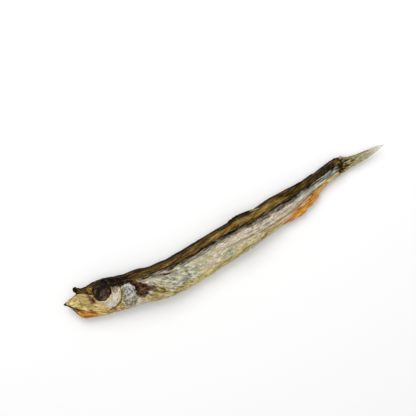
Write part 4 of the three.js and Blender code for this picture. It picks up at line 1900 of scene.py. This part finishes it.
@dataclass
class Studio:
    """A pale floor, soft light and a camera that looks straight down."""

    turn: float = math.radians(25.7)  # the tail points this far up from level
    aim: tuple[float, float] = (-3.0, 15.6)  # what the middle of the view looks at, in millimetres
    width: float = 174.3  # how much floor the view takes in
    lens: float = 85.0
    sensor: float = 36.0
    floor_size: float = 3.0
    room_light: float = 0.42

    def build(self) -> None:
        """Makes everything that isn't the fish."""
        self.camera()
        self.floor()
        self.lights()

    def toward(self, right: float, up: float, out: float) -> Vector:
        """Turns a direction of the view into one of the frame."""
        cos, sin = math.cos(self.turn), math.sin(self.turn)
        return Vector((right * cos + up * sin, up * cos - right * sin, out))

    def camera(self) -> None:
        """Puts the camera over the fish."""
        data = bpy.data.cameras.new("view")
        data.lens = self.lens
        data.sensor_width = self.sensor
        data.clip_start = 0.01
        camera = put_in_scene("view", data)
        middle = (CAD_BOX[0].z + CAD_BOX[1].z) / 2
        height = self.width * MM * self.lens / self.sensor + middle
        spot = Matrix.Translation((self.aim[0] * MM, self.aim[1] * MM, height))
        camera.matrix_world = spot @ Matrix.Rotation(-self.turn, 4, "Z")
        bpy.context.scene.camera = camera

    def floor(self) -> None:
        """Lays a plain pale floor."""
        half = self.floor_size / 2
        corners = np.array([(-half, -half, 0), (half, -half, 0), (half, half, 0), (-half, half, 0)])
        mesh = fill_mesh("floor", corners / MM, [np.array([[0, 1, 2, 3]])])
        floor = put_in_scene("floor", mesh)
        w = Wiring("pale_floor")
        w.fill(w.shader, {"Base Color": shade(238, 238, 238), "Roughness": 0.9})
        mesh.materials.append(w.material)

    def lights(self) -> None:
        """Hangs two soft lights in an even white room."""
        world = bpy.data.worlds.new("room")
        world.use_nodes = True
        room = world.node_tree.nodes["Background"].inputs
        room["Color"].default_value = (1, 1, 1, 1)
        room["Strength"].default_value = self.room_light
        bpy.context.scene.world = world
        bpy.context.scene.view_settings.view_transform = "Standard"
        for name, direction, away, size, watts in (
            ("sky", self.toward(0.0, 0.1, 1.0), 0.8, 0.8, 3.7),
            ("key", self.toward(-0.5, 0.9, 1.3), 0.6, 0.35, 1.7),
        ):
            data = bpy.data.lights.new(name, "AREA")
            data.size = size
            data.energy = watts
            lamp = put_in_scene(name, data)
            lamp.location = direction.normalized() * away
            lamp.rotation_euler = direction.to_track_quat("Z", "Y").to_euler()


def main() -> None:
    """Builds the fish, then the studio round it."""
    logging.basicConfig(level=logging.INFO, format="%(name)s: %(message)s")
    Trunk().build()
    LowerJaw().build()
    tree = RayTree()
    for side_name in SIDES:
        JawPlate().build(side_name)
        Eye().build(side_name)
        GillCover().build(side_name)
        for fin in paired_fins(side_name):
            fin.build(tree)
    for fin in median_fins():
        fin.build(tree)
    FleshyFin().build()
    Studio().build()


if __name__ == "__main__":
    main()
